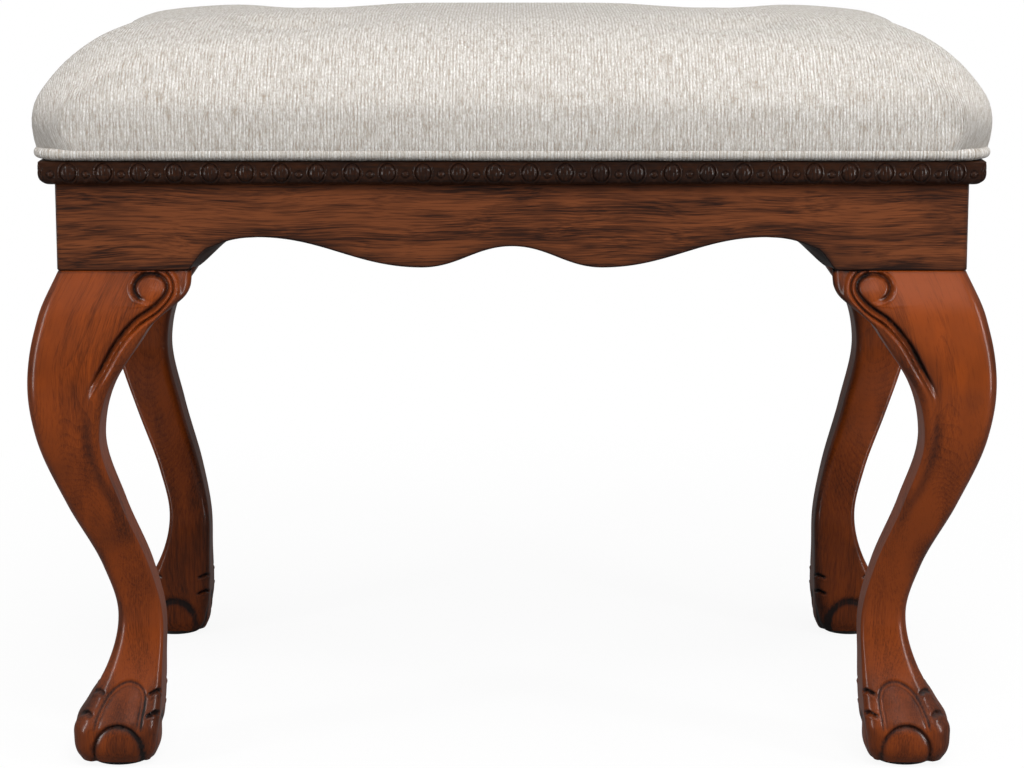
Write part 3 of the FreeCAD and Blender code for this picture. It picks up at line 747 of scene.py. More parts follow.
def scroll_line():
    """Groove round the knee scroll's button and down the leg's inner edge, and the length of its ring."""
    turn = np.radians(np.linspace(*SCROLL_TURN, 22))
    ring = np.column_stack([SCROLL_CENTRE[0] + SCROLL_RADII[0] * np.cos(turn),
                            SCROLL_CENTRE[1] + SCROLL_RADII[1] * np.sin(turn)])
    return curve_through(np.vstack([ring, SCROLL_TAIL]), 170), run_lengths(ring)[-1]


def scroll_carving(spots, depth):
    """Relief, and glaze with painted shade, of the knee scroll at spots of (distance along the face, height).
    """
    path, ring_end = scroll_line()
    reach = run_lengths(path)[-1]
    across, along = beside_path(spots, path)
    fade = 1 - smooth_step(reach - 46, reach - 3, along)
    begin = smooth_step(0, 7, along)
    on_tail = smooth_step(ring_end, ring_end + 14, along)
    half_round = smooth_step(0.45 * ring_end, 0.8 * ring_end, along)
    beside_ear = smooth_step(*FINE_GROOVE_START, spots[:, 1])
    outer = across > 0
    groove = bump(across, *SCROLL_GROOVE) * fade * begin
    inner_roll = bump(across, *SCROLL_INNER_ROLL) * outer * fade * begin
    fine_groove = bump(across, *SCROLL_FINE_GROOVE) * outer * beside_ear * smooth_step(14, 26, along)
    outer_roll = bump(across, *SCROLL_OUTER_ROLL) * outer * fade * half_round
    button = np.clip(1 - oval_distance(spots, SCROLL_CENTRE, SCROLL_RADII) ** 2, 0, 1)
    hollow = np.exp(np.minimum(across, 0) / SCROLL_HOLLOW) * (across <= 0) * on_tail * fade
    relief = depth * (-1.1 * groove + (0.70 + 0.45 * on_tail) * inner_roll - 0.55 * fine_groove
                      + (1.3 - 0.5 * on_tail) * outer_roll + 0.65 * button - 0.55 * hollow)
    # Glaze in the grooves; painted shade in the hollow beside the tail and on the rounded edge past the outer
    # roll.
    glaze_and_shade = 0.95 * bump(across, -0.2, 1.7) * fade * begin + 0.75 * fine_groove + 0.40 * hollow
    glaze_and_shade += 0.40 * bump(across, 9.6, 2.2) * outer * fade * smooth_step(20, 34, along)
    return relief, glaze_and_shade


def valley_carving(spots):
    """Shallow hollow that carries the scroll's line down the leg, with painted shade along it."""
    path = curve_through(VALLEY, 80)
    reach = run_lengths(path)[-1]
    across, along = beside_path(spots, path)
    fade = smooth_step(0, 22, along) * (1 - 0.6 * smooth_step(50, 100, along))
    fade *= 1 - smooth_step(reach - 50, reach, along)
    # Painted shade along the hollow.
    return -VALLEY_DEPTH * bump(across, 0, 4.0) * fade, 0.62 * bump(across, 0, 3.4) * fade


def ball_carving(spots, rise, edge=0.07):
    """Ball between the claws, with a groove round it; the edge is the groove's share of the ball's radius."""
    radius = oval_distance(spots, BALL_CENTRE, BALL_RADII)
    dome = np.sqrt(np.clip(1 - (radius / 0.99) ** 2, 0, 1))
    inside = 1 - smooth_step(1.0 - edge, 1.0 + 2 * edge, radius)
    relief = rise * (dome - 0.72) * inside
    return relief, 0.95 * bump(radius, 1.0, edge) + 0.35 * bump(radius, 0.93, 0.10)


def panel_carving(spots, rise):
    """Raised panel over the ball, with a fine bead along its edge."""
    path = curve_through(PANEL, 90)
    across, _ = beside_path(spots, path)
    depth = -across
    above_ball = smooth_step(*PANEL_FOOT, spots[:, 1])
    crown = 1.35 * np.sin(np.clip(depth / PANEL_CROWN, 0, 1) * math.pi / 2)
    crown -= 0.6 * smooth_step(-0.6, 0.6, depth)
    edge_bead = 0.20 * bump(depth, 0.8, 0.5) - 0.16 * bump(depth, 2.0, 0.6) - 0.40 * bump(depth, -0.9, 0.8)
    relief = rise * (crown + edge_bead)
    glaze_and_shade = 0.9 * bump(depth, -0.5, 0.8) + 0.30 * bump(depth, 2.0, 0.6) + 0.32 * smooth_step(0, 3, depth)
    return relief * above_ball, glaze_and_shade * above_ball


def outer_face_carving(spots, wood_settings):
    """All the carving of a leg's outer face."""
    scroll = scroll_carving(spots, wood_settings.scroll_depth / MM)
    valley = valley_carving(spots)
    ball = ball_carving(spots, wood_settings.ball_rise / MM)
    panel = panel_carving(spots, wood_settings.panel_rise / MM)
    panel_share = smooth_step(0.98, 1.08, oval_distance(spots, BALL_CENTRE, BALL_RADII))
    relief = scroll[0] + valley[0] + ball[0] + panel[0] * panel_share
    glaze_and_shade = scroll[1] + valley[1] + ball[1] + panel[1] * panel_share
    return relief, glaze_and_shade


def knuckle_carving(edge, height):
    """Notches between the joints of a claw, by distance from the section's corner and height."""
    share = 1 - smooth_step(*KNUCKLE_SPAN, edge)
    relief = np.zeros_like(height)
    glaze_and_shade = np.zeros_like(height)
    for place, depth in KNUCKLES:
        below = height - (place - KNUCKLE_SLANT * edge)
        notch = bump(below, 0, 0.9)
        relief += share * depth * (-notch + 0.25 * bump(below, -2.2, 1.0))
        glaze_and_shade += share * 0.5 * depth * bump(below, 0.2, 1.1)
    return relief, glaze_and_shade


def leg_levels():
    """Heights of a leg's mesh, closest where the carving is."""
    heights = [SOLE]
    for end, spacing in LEG_LEVELS:
        count = max(2, round((end - heights[-1]) / spacing))
        heights += np.linspace(heights[-1], end, count + 1)[1:].tolist()
    return np.array(heights)


def leg_section(out, inner, outer_radius, side_radius, inner_radius):
    """Points and outward directions round each level of a leg, from its outer corner along the front."""
    out, inner, outer_radius, side_radius, inner_radius = [
        np.asarray(value, float)[:, None] for value in (out, inner, outer_radius, side_radius, inner_radius)]
    face = np.linspace(0, 1, FACE_COLUMNS)[None, :]
    far = np.linspace(0, 1, INNER_COLUMNS)[None, :]
    turn = np.linspace(0, math.pi / 2, ARC_COLUMNS + 2)[None, 1:-1]

    def run(start, end, share):
        return start + (end - start) * share

    columns = []

    def straight(a, b, direction):
        a, b = np.broadcast_arrays(a, b)
        columns.append((a, b, np.full_like(a, direction[0]), np.full_like(a, direction[1])))

    def bend(centre_a, centre_b, radius, start):
        angle = turn + math.radians(start)
        cos = np.cos(angle)
        sin = np.sin(angle)
        columns.append(np.broadcast_arrays(centre_a + radius * cos, centre_b + radius * sin, cos, sin))

    straight(run(-out + outer_radius, inner - side_radius, face), -out, (0, -1))
    bend(inner - side_radius, -out + side_radius, side_radius, -90)
    straight(inner, run(-out + side_radius, inner - inner_radius, far), (1, 0))
    bend(inner - inner_radius, inner - inner_radius, inner_radius, 0)
    straight(run(inner - inner_radius, -out + side_radius, far), inner, (0, 1))
    bend(-out + side_radius, inner - side_radius, side_radius, 90)
    straight(-out, run(inner - side_radius, -out + outer_radius, face), (-1, 0))
    bend(-out + outer_radius, -out + outer_radius, outer_radius, 180)
    return [np.concatenate(parts, axis=1) for parts in zip(*columns)]


def carved_leg(wood_settings):
    """Points, glaze and painted shade, and faces of one leg in its corner's own frame."""
    heights = leg_levels()
    out, inner, outer_radius, side_radius = smooth_through(LEG_STATIONS, heights).T
    inner_radius = np.maximum(side_radius, INNER_RADIUS_LEAST)
    a, b, face_a, face_b = leg_section(out, inner, outer_radius, side_radius, inner_radius)
    shape = a.shape
    z = spread(heights, shape[1])
    reach_out = spread(out, shape[1])
    reach_in = spread(inner, shape[1])
    moved = [np.zeros(shape), np.zeros(shape)]
    glaze_and_shade = np.zeros(shape)
    near_ear = smooth_step(*EAR_CUT, z)

    def carve(axis, outward, along, inset, straight, carving):
        """Cuts a face's carving square to the surface, or straight in where an ear continues it."""
        facing = outward * (face_a, face_b)[axis]
        share = smooth_step(0.15, 0.75, facing)
        weight = share * (1 - straight) + (1 - smooth_step(0, 18, inset)) * straight
        touched = weight > 0
        rise, dark = carving(np.column_stack([along[touched], z[touched]]))
        push = np.zeros(shape)
        push[touched] = weight[touched] * rise
        glaze_and_shade[touched] += share[touched] * dark
        for own, face in enumerate((face_a, face_b)):
            moved[own] += push * (face * (1 - straight) + outward * (own == axis) * straight)

    def outer_face(spots):
        return outer_face_carving(spots, wood_settings)

    def inner_face(spots):
        return ball_carving(spots, INNER_BALL_SHARE * wood_settings.ball_rise / MM, INNER_BALL_EDGE)

    plain = np.zeros(shape)
    carve(1, -1, a, b + reach_out, near_ear, outer_face)
    carve(0, -1, b, a + reach_out, near_ear, outer_face)
    carve(0, 1, b, plain, plain, inner_face)
    carve(1, 1, a, plain, plain, inner_face)
    edges = [
        np.maximum(a + reach_out, b + reach_out),
        np.maximum(reach_in - a, b + reach_out),
        np.maximum(a + reach_out, reach_in - b),
        np.maximum(reach_in - a, reach_in - b),
    ]
    for edge in edges:
        rise, dark = knuckle_carving(edge, z)
        moved[0] += rise * face_a
        moved[1] += rise * face_b
        glaze_and_shade += dark
    glaze_and_shade += 0.22 * (1 - smooth_step(*SHIN_FADE, z))
    on_foot = 1 - smooth_step(*FOOT_TOP, z)
    glaze_and_shade += 0.36 * (1 - smooth_step(5, 18, edges[0])) * on_foot
    glaze_and_shade += 0.16 * (1 - smooth_step(4, 12, np.minimum.reduce(edges[1:]))) * on_foot
    # Painted shade along the leg's outer corner, from above the foot to the top.
    on_corner = smooth_step(0.30, 0.75, np.minimum(-face_a, -face_b))
    glaze_and_shade += 0.42 * on_corner * smooth_step(*CORNER_SHADE_START, z)
    # Painted shadow where the leg's top meets the apron's underside.
    glaze_and_shade += 0.55 * smooth_step(APRON_UNDERSIDE - 2.2, APRON_UNDERSIDE, z)
    points = np.stack([a + moved[0], b + moved[1], z], axis=-1)

    ends_z = np.array([APRON_UNDERSIDE, APRON_UNDERSIDE, POST_TOP - POST_EDGE, POST_TOP])
    ends_out = np.array([-LEG_TOP_EASE, POST_OUT, POST_OUT, POST_OUT - POST_EDGE])
    leg_inner = inner[-1]
    ends_inner = np.array([leg_inner - LEG_TOP_EASE, leg_inner, leg_inner, leg_inner - POST_EDGE])
    post_a, post_b, _, _ = leg_section(ends_out, ends_inner, [4.0, POST_EDGE, POST_EDGE, POST_EDGE],
                                       [0.5, POST_EDGE, POST_EDGE, POST_EDGE],
                                       [INNER_RADIUS_LEAST] + [POST_INNER_RADIUS] * 3)
    post = np.stack([post_a, post_b, spread(ends_z, shape[1])], axis=-1)
    return carved_shape(np.concatenate([points, post]), np.concatenate([glaze_and_shade, np.zeros(post_a.shape)]))


def leg_outline(heights):
    """Reach past the apron's face, and inside it, of a leg at some heights."""
    values = smooth_through(LEG_STATIONS, heights)
    return values[:, 0], values[:, 1]


def carved_ear(wood_settings):
    """Points, glaze and painted shade, and faces of a front ear in its corner's own frame."""
    low = EAR_EDGE[0][0]
    heights = np.linspace(low, APRON_UNDERSIDE - 0.05, int((APRON_UNDERSIDE - low) / EAR_ROW))
    out, inner = leg_outline(heights)
    edge_places = np.array(EAR_EDGE + [(APRON_UNDERSIDE, EAR_EDGE[-1][1])])
    edge = smooth_through(edge_places, heights)[:, 0]
    joint = inner + EAR_JOINT
    edge = np.maximum(edge, joint + 0.4)
    share = np.linspace(0, 1, EAR_COLUMNS)
    share = 1 - (1 - share) ** 1.35
    a = joint[:, None] + (edge - joint)[:, None] * share[None, :]
    z = spread(heights, EAR_COLUMNS)
    relief, glaze_and_shade = outer_face_carving(np.column_stack([a.ravel(), z.ravel()]), wood_settings)
    rounding = np.minimum(EAR_ROUND, (edge - joint) * 0.8)[:, None]
    past = np.clip((a - (edge[:, None] - rounding)) / rounding, 0, 1)
    front = -out[:, None] - relief.reshape(a.shape) + rounding * (1 - np.sqrt(1 - past ** 2))
    back = np.linspace(0, 1, EAR_SIDE_COLUMNS + 1)[None, 1:]
    side_b = front[:, -1:] + (EAR_DEPTH - front[:, -1:]) * back
    lean = np.minimum(EAR_LEAN, (edge - joint) * 0.5)[:, None]
    side_a = edge[:, None] - lean * back
    rear_a = edge[:, None] - lean + (joint[:, None] - edge[:, None] + lean) * back
    rear_b = np.full(rear_a.shape, EAR_DEPTH)
    all_a = np.concatenate([a, side_a, rear_a], axis=1)
    all_b = np.concatenate([front, side_b, rear_b], axis=1)
    columns = all_a.shape[1]
    all_z = spread(heights, columns)
    plain = np.full((len(heights), columns - EAR_COLUMNS), 0.3)
    # Glaze from the carving, a little more over the whole ear, and painted shade on its rounded outer side.
    glaze_and_shade = np.concatenate([glaze_and_shade.reshape(a.shape) + 0.12 + 0.35 * past, plain], axis=1)
    # Painted shadow where the ear meets the apron's underside.
    glaze_and_shade += 0.5 * smooth_step(APRON_UNDERSIDE - 2.2, APRON_UNDERSIDE, all_z)
    return carved_shape(np.stack([all_a, all_b, all_z], axis=-1), glaze_and_shade)


def scallop(half_length, x, bracket):
    """Rise of an apron's lower edge above its underside, with the given curve over the knee."""
    peak_from_end, peak_rise = bracket[-1]
    peak = half_length - peak_from_end
    lobe = LOBE_SHARE * (half_length - SCALLOP_LEG_FLAT)
    share = np.linspace(0, 1, 30)
    basis = [(1 - share) ** 3, 3 * share * (1 - share) ** 2, 3 * share ** 2 * (1 - share), share ** 3]

    def swing(start, end):
        pull = SWING_PULL * (start[0] - end[0])
        places = (start[0], start[0] - pull, end[0] + pull, end[0])
        rises = (start[1], start[1], end[1], end[1])
        return sum(p * f for p, f in zip(places, basis)), sum(p * f for p, f in zip(rises, basis))

    down_x, down_z = swing((peak, peak_rise), (lobe, LOBE_RISE))
    up_x, up_z = swing((lobe, LOBE_RISE), (0.0, CENTRE_RISE))
    from_end = np.linspace(bracket[0][0], peak_from_end, 60)
    bracket_z = smooth_through(bracket, from_end)[:, 0]
    edge_x = np.concatenate([[half_length], half_length - from_end, down_x, up_x])
    edge_z = np.concatenate([[0], bracket_z, down_z, up_z])
    return np.interp(np.abs(x), edge_x[::-1], np.maximum(edge_z[::-1], 0))


def strip_columns(half_length, ease, spacing):
    """Places along a strip's face, and how far the face is eased back there, with rounded mitred ends."""
    turn = np.radians(np.linspace(0, 45, 6))
    end_x = half_length - ease + ease * np.sin(turn)
    end_back = ease - ease * np.cos(turn)
    count = int(2 * (half_length - ease) / spacing)
    middle = np.linspace(-(half_length - ease), half_length - ease, count)
    x = np.concatenate([-end_x[::-1], middle[1:-1], end_x])
    back = np.concatenate([end_back[::-1], np.zeros(count - 2), end_back])
    return x, back


def mitred(x, back, depth, half_length, thickness):
    """Place along and depth of a strip's point whose face column is at x, drawn in towards the mitre."""
    past = np.maximum(np.abs(x) - (half_length - thickness), 0)
    return x - np.sign(x) * past * depth / thickness, back + depth * (thickness - back) / thickness


def apron_strip(side):
    """Points, painted shade and darker ends, and faces of one apron, made for the front."""
    half_length, half_across = side_lengths(side)
    x, back = strip_columns(half_length, APRON_END_EASE, APRON_SPACING)
    low = APRON_UNDERSIDE + scallop(half_length, x, BRACKET_FRONT)
    behind = APRON_UNDERSIDE + scallop(half_length, x, BRACKET_BACK)
    turn = np.radians(np.linspace(0, 90, 6))
    rows = [(APRON_THICKNESS * 0.5, (low + behind) / 2), (APRON_EASE * 2, low * 0.84 + behind * 0.16)]
    for angle in turn:
        depth = APRON_EASE * (1 - math.sin(angle))
        rows.append((depth, low + APRON_EASE * (1 - math.cos(angle))))
    for share in np.linspace(0, 1, 12)[1:]:
        rows.append((0.0, low + APRON_EASE + (APRON_TOP - APRON_TOP_EASE - low - APRON_EASE) * share))
    top = np.full_like(low, APRON_TOP)
    rows += [(APRON_TOP_EASE, top), (APRON_THICKNESS, top), (APRON_THICKNESS, behind)]
    points = []
    for depth, height in rows:
        along, deep = mitred(x, back, depth, half_length, APRON_THICKNESS)
        points.append(np.column_stack([along, -half_across + deep, height]))
    points = np.array(points).transpose(1, 0, 2)
    height = points[:, :, 2] - low[:, None]
    near_end = half_length - np.abs(points[:, :, 0])
    # Painted shade along the eased lower edge and painted shadow under the moulding; darker at the mitred
    # ends.
    glaze_and_shade = 0.8 * (1 - smooth_step(0.0, 3.2, height)) + 0.22 * (1 - smooth_step(2, 11, height))
    glaze_and_shade += 0.35 * smooth_step(APRON_TOP - 4, APRON_TOP, points[:, :, 2])
    glaze_and_shade += 0.5 * (1 - smooth_step(0, 3, near_end))
    return carved_shape(points, glaze_and_shade)


def moulding_relief(x, height, half_length):
    """Relief and glaze of the ovals and beads along a moulding."""
    reach = half_length - BEAD_END
    count = round(2 * reach / OVAL_PITCH)
    pitch = 2 * reach / count
    phase = (x + reach) / pitch
    oval_x = (phase - np.floor(phase) - 0.5) * pitch
    bead_x = (phase - np.round(phase)) * pitch
    radius = np.hypot(oval_x / OVAL_RADII[0], (height - OVAL_HEIGHT) / OVAL_RADII[1])
    lean = oval_x + OVAL_LEAN * (height - OVAL_HEIGHT)
    egg = np.sqrt(np.clip(1 - (radius / OVAL_EGG) ** 2, 0, 1))
    ribs = bump(np.abs(lean), 1.35, 0.5) + 0.7 * bump(np.abs(lean), 3.4, 0.4)
    ribs *= radius < OVAL_EGG
    rim = bump(radius, 1.14, 0.10)
    rim_groove = bump(radius, 0.97, 0.07) + 0.7 * bump(radius, 1.32, 0.08)
    bead = np.hypot(bead_x, height - BEAD_HEIGHT)
    dome = np.sqrt(np.clip(1 - (bead / BEAD_RADIUS) ** 2, 0, 1))
    bead_groove = bump(bead, BEAD_RADIUS + 0.55, 0.45)
    drop = np.hypot(bead_x, height - (BEAD_HEIGHT - DROP_BELOW))
    leaf = np.hypot(bead_x / LEAF_RADII[0], (height - (BEAD_HEIGHT + LEAF_ABOVE)) / LEAF_RADII[1])
    relief = 1.9 * egg - 0.5 * ribs + 0.30 * rim - 0.6 * rim_groove + 0.85 * dome - 0.6 * bead_groove
    relief += 0.5 * np.sqrt(np.clip(1 - (drop / DROP_RADIUS) ** 2, 0, 1)) + 0.45 * bump(leaf, 0, 0.9)
    dark = 0.8 * rim_groove + 0.75 * bead_groove + 0.6 * ribs + 0.25
    dark -= 0.25 * rim + 0.3 * dome
    return relief, dark


def moulding_strip(side):
    """Points, glaze and painted shade, and faces of one carved moulding, made for the front."""
    half_length, half_across = side_lengths(side)
    half_length += MOULDING_PROJECTION
    half_across += MOULDING_PROJECTION
    thickness = MOULDING_PROJECTION + APRON_THICKNESS
    x, back = strip_columns(half_length, MOULDING_END_EASE, MOULDING_SPACING)
    bottom = APRON_TOP
    round_top = bottom + MOULDING_ROUND
    rows = [(thickness, FRAME_TOP, 0, 0), (MOULDING_EASE, FRAME_TOP, 0, 0), (0.24, FRAME_TOP - 0.24, 0, 0)]
    for height in np.linspace(FRAME_TOP - MOULDING_EASE, round_top, 13):
        rows.append((0.0, height, 1, 0))
    for angle in np.radians(np.linspace(0, 90, 17)[1:]):
        rows.append((MOULDING_ROUND * (1 - math.cos(angle)), round_top - MOULDING_ROUND * math.sin(angle),
                     math.cos(angle), math.sin(angle)))
    rows += [(MOULDING_PROJECTION, bottom, 0, 0), (thickness, bottom, 0, 0)]
    points = []
    glaze_and_shade = []
    end_fade = smooth_step(0, 2.0, half_length - np.abs(x))
    for depth, height, face_out, face_down in rows:
        relief, dark = moulding_relief(x, height, half_length)
        edge_fade = smooth_step(bottom + 0.2, bottom + 1.6, height)
        edge_fade *= smooth_step(FRAME_TOP - 0.4, FRAME_TOP - 1.4, height)
        relief = relief * end_fade * edge_fade
        along, deep = mitred(x, back, depth, half_length, thickness)
        front = -half_across + deep - relief * face_out
        points.append(np.column_stack([along, front, height - relief * face_down]))
        low_shade = 0.5 * (1 - smooth_step(bottom, bottom + 5.0, height))
        glaze_and_shade.append(dark * edge_fade + low_shade)
    points = np.array(points).transpose(1, 0, 2)[:, ::-1]
    glaze_and_shade = np.array(glaze_and_shade).T[:, ::-1]
    return carved_shape(points, glaze_and_shade)


def along_first(points):
    """Grain places of a strip: across, up, and along its length."""
    return np.column_stack([points[:, 1], points[:, 2], points[:, 0]])


def cushion_corner(inset):
    """Plan corner radius of the cushion at an inset from its widest line."""
    room = CUSHION_HALF_Y - inset
    grown = CUSHION_CORNER + CUSHION_CORNER_GROWTH * inset
    limit = CUSHION_CORNER_SHARE * room
    return grown * limit / (grown ** 6 + limit ** 6) ** (1 / 6)


def quarter_outline(half_x, half_y, corner, share_x, share_y, turn):
    """Quarter of a rounded rectangle from the front's middle to the right end's middle."""
    front = np.column_stack([(half_x - corner) * share_x, np.full(len(share_x), -half_y)])
    bend = np.column_stack([half_x - corner + corner * np.sin(turn),
                            -half_y + corner - corner * np.cos(turn)])
    end = np.column_stack([np.full(len(share_y), half_x), -(half_y - corner) * (1 - share_y)])
    return np.vstack([front, bend, end])


def whole_ring(quarter):
    """Ring of plan points, mirrored from its quarter."""
    half = np.vstack([quarter, quarter[::-1][1:] * (1, -1)])
    return np.vstack([half, half[::-1][1:-1] * (-1, 1)])


def cushion_rings(profile):
    """Rings of plan points for (height, half x, half y, corner) entries, as an array of rows and columns."""
    front_share = np.linspace(0, 1, int((CUSHION_HALF_X - CUSHION_CORNER) / CUSHION_STEP))
    end_share = np.linspace(0, 1, int((CUSHION_HALF_Y - CUSHION_CORNER) / CUSHION_STEP))
    turn = np.linspace(0, math.pi / 2, 14)[1:-1]
    rings = []
    for height, half_x, half_y, corner in profile:
        whole = whole_ring(quarter_outline(half_x, half_y, corner, front_share, end_share, turn))
        rings.append(np.column_stack([whole, np.full(len(whole), height)]))
    return np.array(rings)


def tuft_places():
    """Middle of each tuft, from the frame's buttons."""
    places = {}
    for corner in CORNERS:
        low, high = node_box(corner + "_button")
        places[corner] = (low + high) / 2
    return places


def outward_of(grid):
    """Outward directions of a closed grid of rings."""
    around = np.roll(grid, -1, axis=1) - np.roll(grid, 1, axis=1)
    up = np.gradient(grid, axis=0)
    normal = np.cross(around, up)
    return normal / np.maximum(np.linalg.norm(normal, axis=2), 1e-9)[:, :, None]


def cushion_shape(seat):
    """Points, yarn places, held shares and faces of the closed cushion."""
    rise_inset = curve_through(CUSHION_PROFILE, CUSHION_RINGS)
    profile = []
    for rise, inset in rise_inset:
        corner = min(cushion_corner(inset), CUSHION_HALF_Y - inset - 0.2)
        profile.append((CUSHION_BASE + rise, CUSHION_HALF_X - inset, CUSHION_HALF_Y - inset, corner))
    rings = cushion_rings(profile)
    under = [
        (board_high[2] + SEAT_GAP, SEAT_GAP),
        (board_low[2] - SEAT_GAP, SEAT_GAP),
        (board_low[2] - SEAT_GAP, -FLANGE_WIDTH),
        (FRAME_TOP + SEAT_GAP, -FLANGE_WIDTH),
        (FRAME_TOP + SEAT_GAP, COVER_BAND),
        (CUSHION_BASE + 0.1, COVER_BAND),
        (CUSHION_BASE + 0.1, COVER_BAND + CUSHION_LIP),
    ]
    under_profile = []
    for height, reach in under:
        corner = max(BOARD_CORNER + min(reach, 0), BOARD_CORNER_LEAST)
        under_profile.append((height, board_high[0] + reach, board_high[1] + reach, corner))
    under_rings = cushion_rings(under_profile)
    top = rings.copy()
    held = 1 - smooth_step(*LOOSE_HEIGHTS, top[:, :, 2])
    padding = smooth_step(*PADDING_HEIGHTS, top[:, :, 2])
    padding *= 1 - smooth_step(*CROWN_FALL_END, np.abs(top[:, :, 0]))
    top[:, :, 2] -= CROWN_FALL * padding * smooth_step(*CROWN_FALL_SPAN, np.abs(top[:, :, 1]))
    for place in tuft_places().values():
        distance = np.hypot(top[:, :, 0] - place[0], top[:, :, 1] - place[1])
        share = np.clip((TUFT_RIM - distance) / (TUFT_RIM - TUFT_FLOOR), 0, 1)
        dip = seat.tuft_depth / MM * share ** TUFT_FALL
        top[:, :, 2] -= dip * smooth_step(*TUFT_HEIGHTS, top[:, :, 2])
        held = np.maximum(held, 1 - smooth_step(TUFT_FLOOR, TUFT_HELD, distance))
    steps = np.linalg.norm(np.diff(rise_inset, axis=0), axis=1)
    to_middle = np.concatenate([np.cumsum(steps[::-1])[::-1], [0]])
    extra = to_middle - (rise_inset[-1, 1] - rise_inset[:, 1])
    under_extra = extra[0] + CUSHION_BASE - under_rings[:, 0, 2]
    everything = np.concatenate([under_rings, rings])
    pulled = np.concatenate([under_extra, extra])[:, None, None]
    ahead = np.roll(everything, -1, axis=1) - np.roll(everything, 1, axis=1)
    ahead = ahead[:, :, :2] / np.maximum(np.linalg.norm(ahead, axis=2), 1e-6)[:, :, None]
    outward = np.stack([ahead[:, :, 1], -ahead[:, :, 0], np.zeros(ahead.shape[:2])], axis=-1)
    weave = (everything * (1, 1, 0) + outward * pulled).reshape(-1, 3)
    top = top - SWELL_ROOM * (1 - held)[:, :, None] * outward_of(top)
    points = np.concatenate([under_rings, top]).reshape(-1, 3)
    held = np.concatenate([np.ones(under_rings.shape[:2]), held]).ravel()
    columns = rings.shape[1]
    rows = len(under_rings) + len(top)
    faces = grid_faces(rows, columns)
    faces.append(list(range(columns))[::-1])
    first = (rows - 1) * columns
    half = columns // 2
    for step in range(columns // 4):
        right = (step, step + 1, half - step - 1, half - step)
        left = (-step % columns, half + step, half + step + 1, columns - step - 1)
        faces += [[first + index for index in dict.fromkeys(corners)] for corners in (right, left)]
    return points, weave, held, faces


def swell(piece, held, pressure, cap):
    """Swells a padded piece by a short cloth simulation; held points stay, and the cap limits the rest."""
    scene = bpy.context.scene
    mesh = piece.data
    rest = np.zeros(3 * len(mesh.vertices))
    mesh.vertices.foreach_get("co", rest)
    rest = rest.reshape(-1, 3)
    group = piece.vertex_groups.new(name="held")
    for index, weight in enumerate(held):
        if weight > 0:
            group.add([index], float(weight), "REPLACE")
    cloth = piece.modifiers.new("swell", "CLOTH")
    cloth.settings.quality = 5
    cloth.settings.mass = 0.3
    cloth.settings.tension_stiffness = 15.0
    cloth.settings.compression_stiffness = 15.0
    cloth.settings.bending_stiffness = 0.6
    cloth.settings.use_pressure = True
    cloth.settings.uniform_pressure_force = pressure
    cloth.settings.vertex_group_mass = "held"
    cloth.settings.effector_weights.gravity = 0.0
    cloth.collision_settings.use_collision = False
    cloth.point_cache.frame_end = SWELL_FRAMES
    for step in range(1, SWELL_FRAMES + 1):
        scene.frame_set(step)
    swollen = np.zeros(rest.size)
    shaped = piece.evaluated_get(bpy.context.evaluated_depsgraph_get())
    shaped.data.vertices.foreach_get("co", swollen)
    piece.modifiers.remove(cloth)
    piece.vertex_groups.remove(group)
    scene.frame_set(1)
    moved = swollen.reshape(-1, 3) - rest
    far = np.linalg.norm(moved, axis=1)[:, None]
    moved *= cap * np.tanh(far / cap) / np.maximum(far, 1e-9)
    mesh.vertices.foreach_set("co", (rest + moved).ravel())
    mesh.update()


def folded_run(path):
    """Length along a ring from its front's middle, mirrored at the middle of its ends so that it closes."""
    count = len(path)
    reach = run_lengths(path)
    index = np.arange(count)
    folded = np.where(index > count // 2, count - index, index)
    folded = np.where(folded > count // 4, count // 2 - folded, folded)
    return reach[folded] * np.where(index > count // 2, -1, 1)


def welt_shape():
    """Points, yarn places and faces of the welt: a covered cord along the seat's lower edge."""
    outer_x = welt_high[0] - WELT_RADIUS
    outer_y = welt_high[1] - WELT_RADIUS
    front_share = np.linspace(0, 1, WELT_FRONT_COLUMNS)
    end_share = np.linspace(0, 1, WELT_END_COLUMNS)
    turn = np.linspace(0, math.pi / 2, 16)[1:-1]
    path = whole_ring(quarter_outline(outer_x, outer_y, WELT_CORNER, front_share, end_share, turn))
    ahead = np.roll(path, -1, axis=0) - np.roll(path, 1, axis=0)
    ahead /= np.linalg.norm(ahead, axis=1)[:, None]
    outward = np.column_stack([ahead[:, 1], -ahead[:, 0]])
    run = folded_run(path)
    angles = np.linspace(0, 2 * math.pi, WELT_FACETS, endpoint=False)
    rings = []
    weave = []
    for angle in angles:
        radius = WELT_RADIUS - WELT_SEAM * bump(angle, WELT_SEAM_PLACE, 0.16)
        height = np.full(len(path), WELT_HEIGHT + radius * math.sin(angle))
        rings.append(np.column_stack([path + outward * radius * math.cos(angle), height]))
        turned = (angle if angle < math.pi else 2 * math.pi - angle) * WELT_RADIUS
        weave.append(np.column_stack([run, np.full(len(path), turned), np.zeros(len(path))]))
    points = np.array(rings).transpose(1, 0, 2)
    weave = np.array(weave).transpose(1, 0, 2)
    count, around = points.shape[:2]
    faces = [[index % (count * around) for index in face] for face in grid_faces(count + 1, around)]
    return points.reshape(-1, 3), weave.reshape(-1, 3), faces


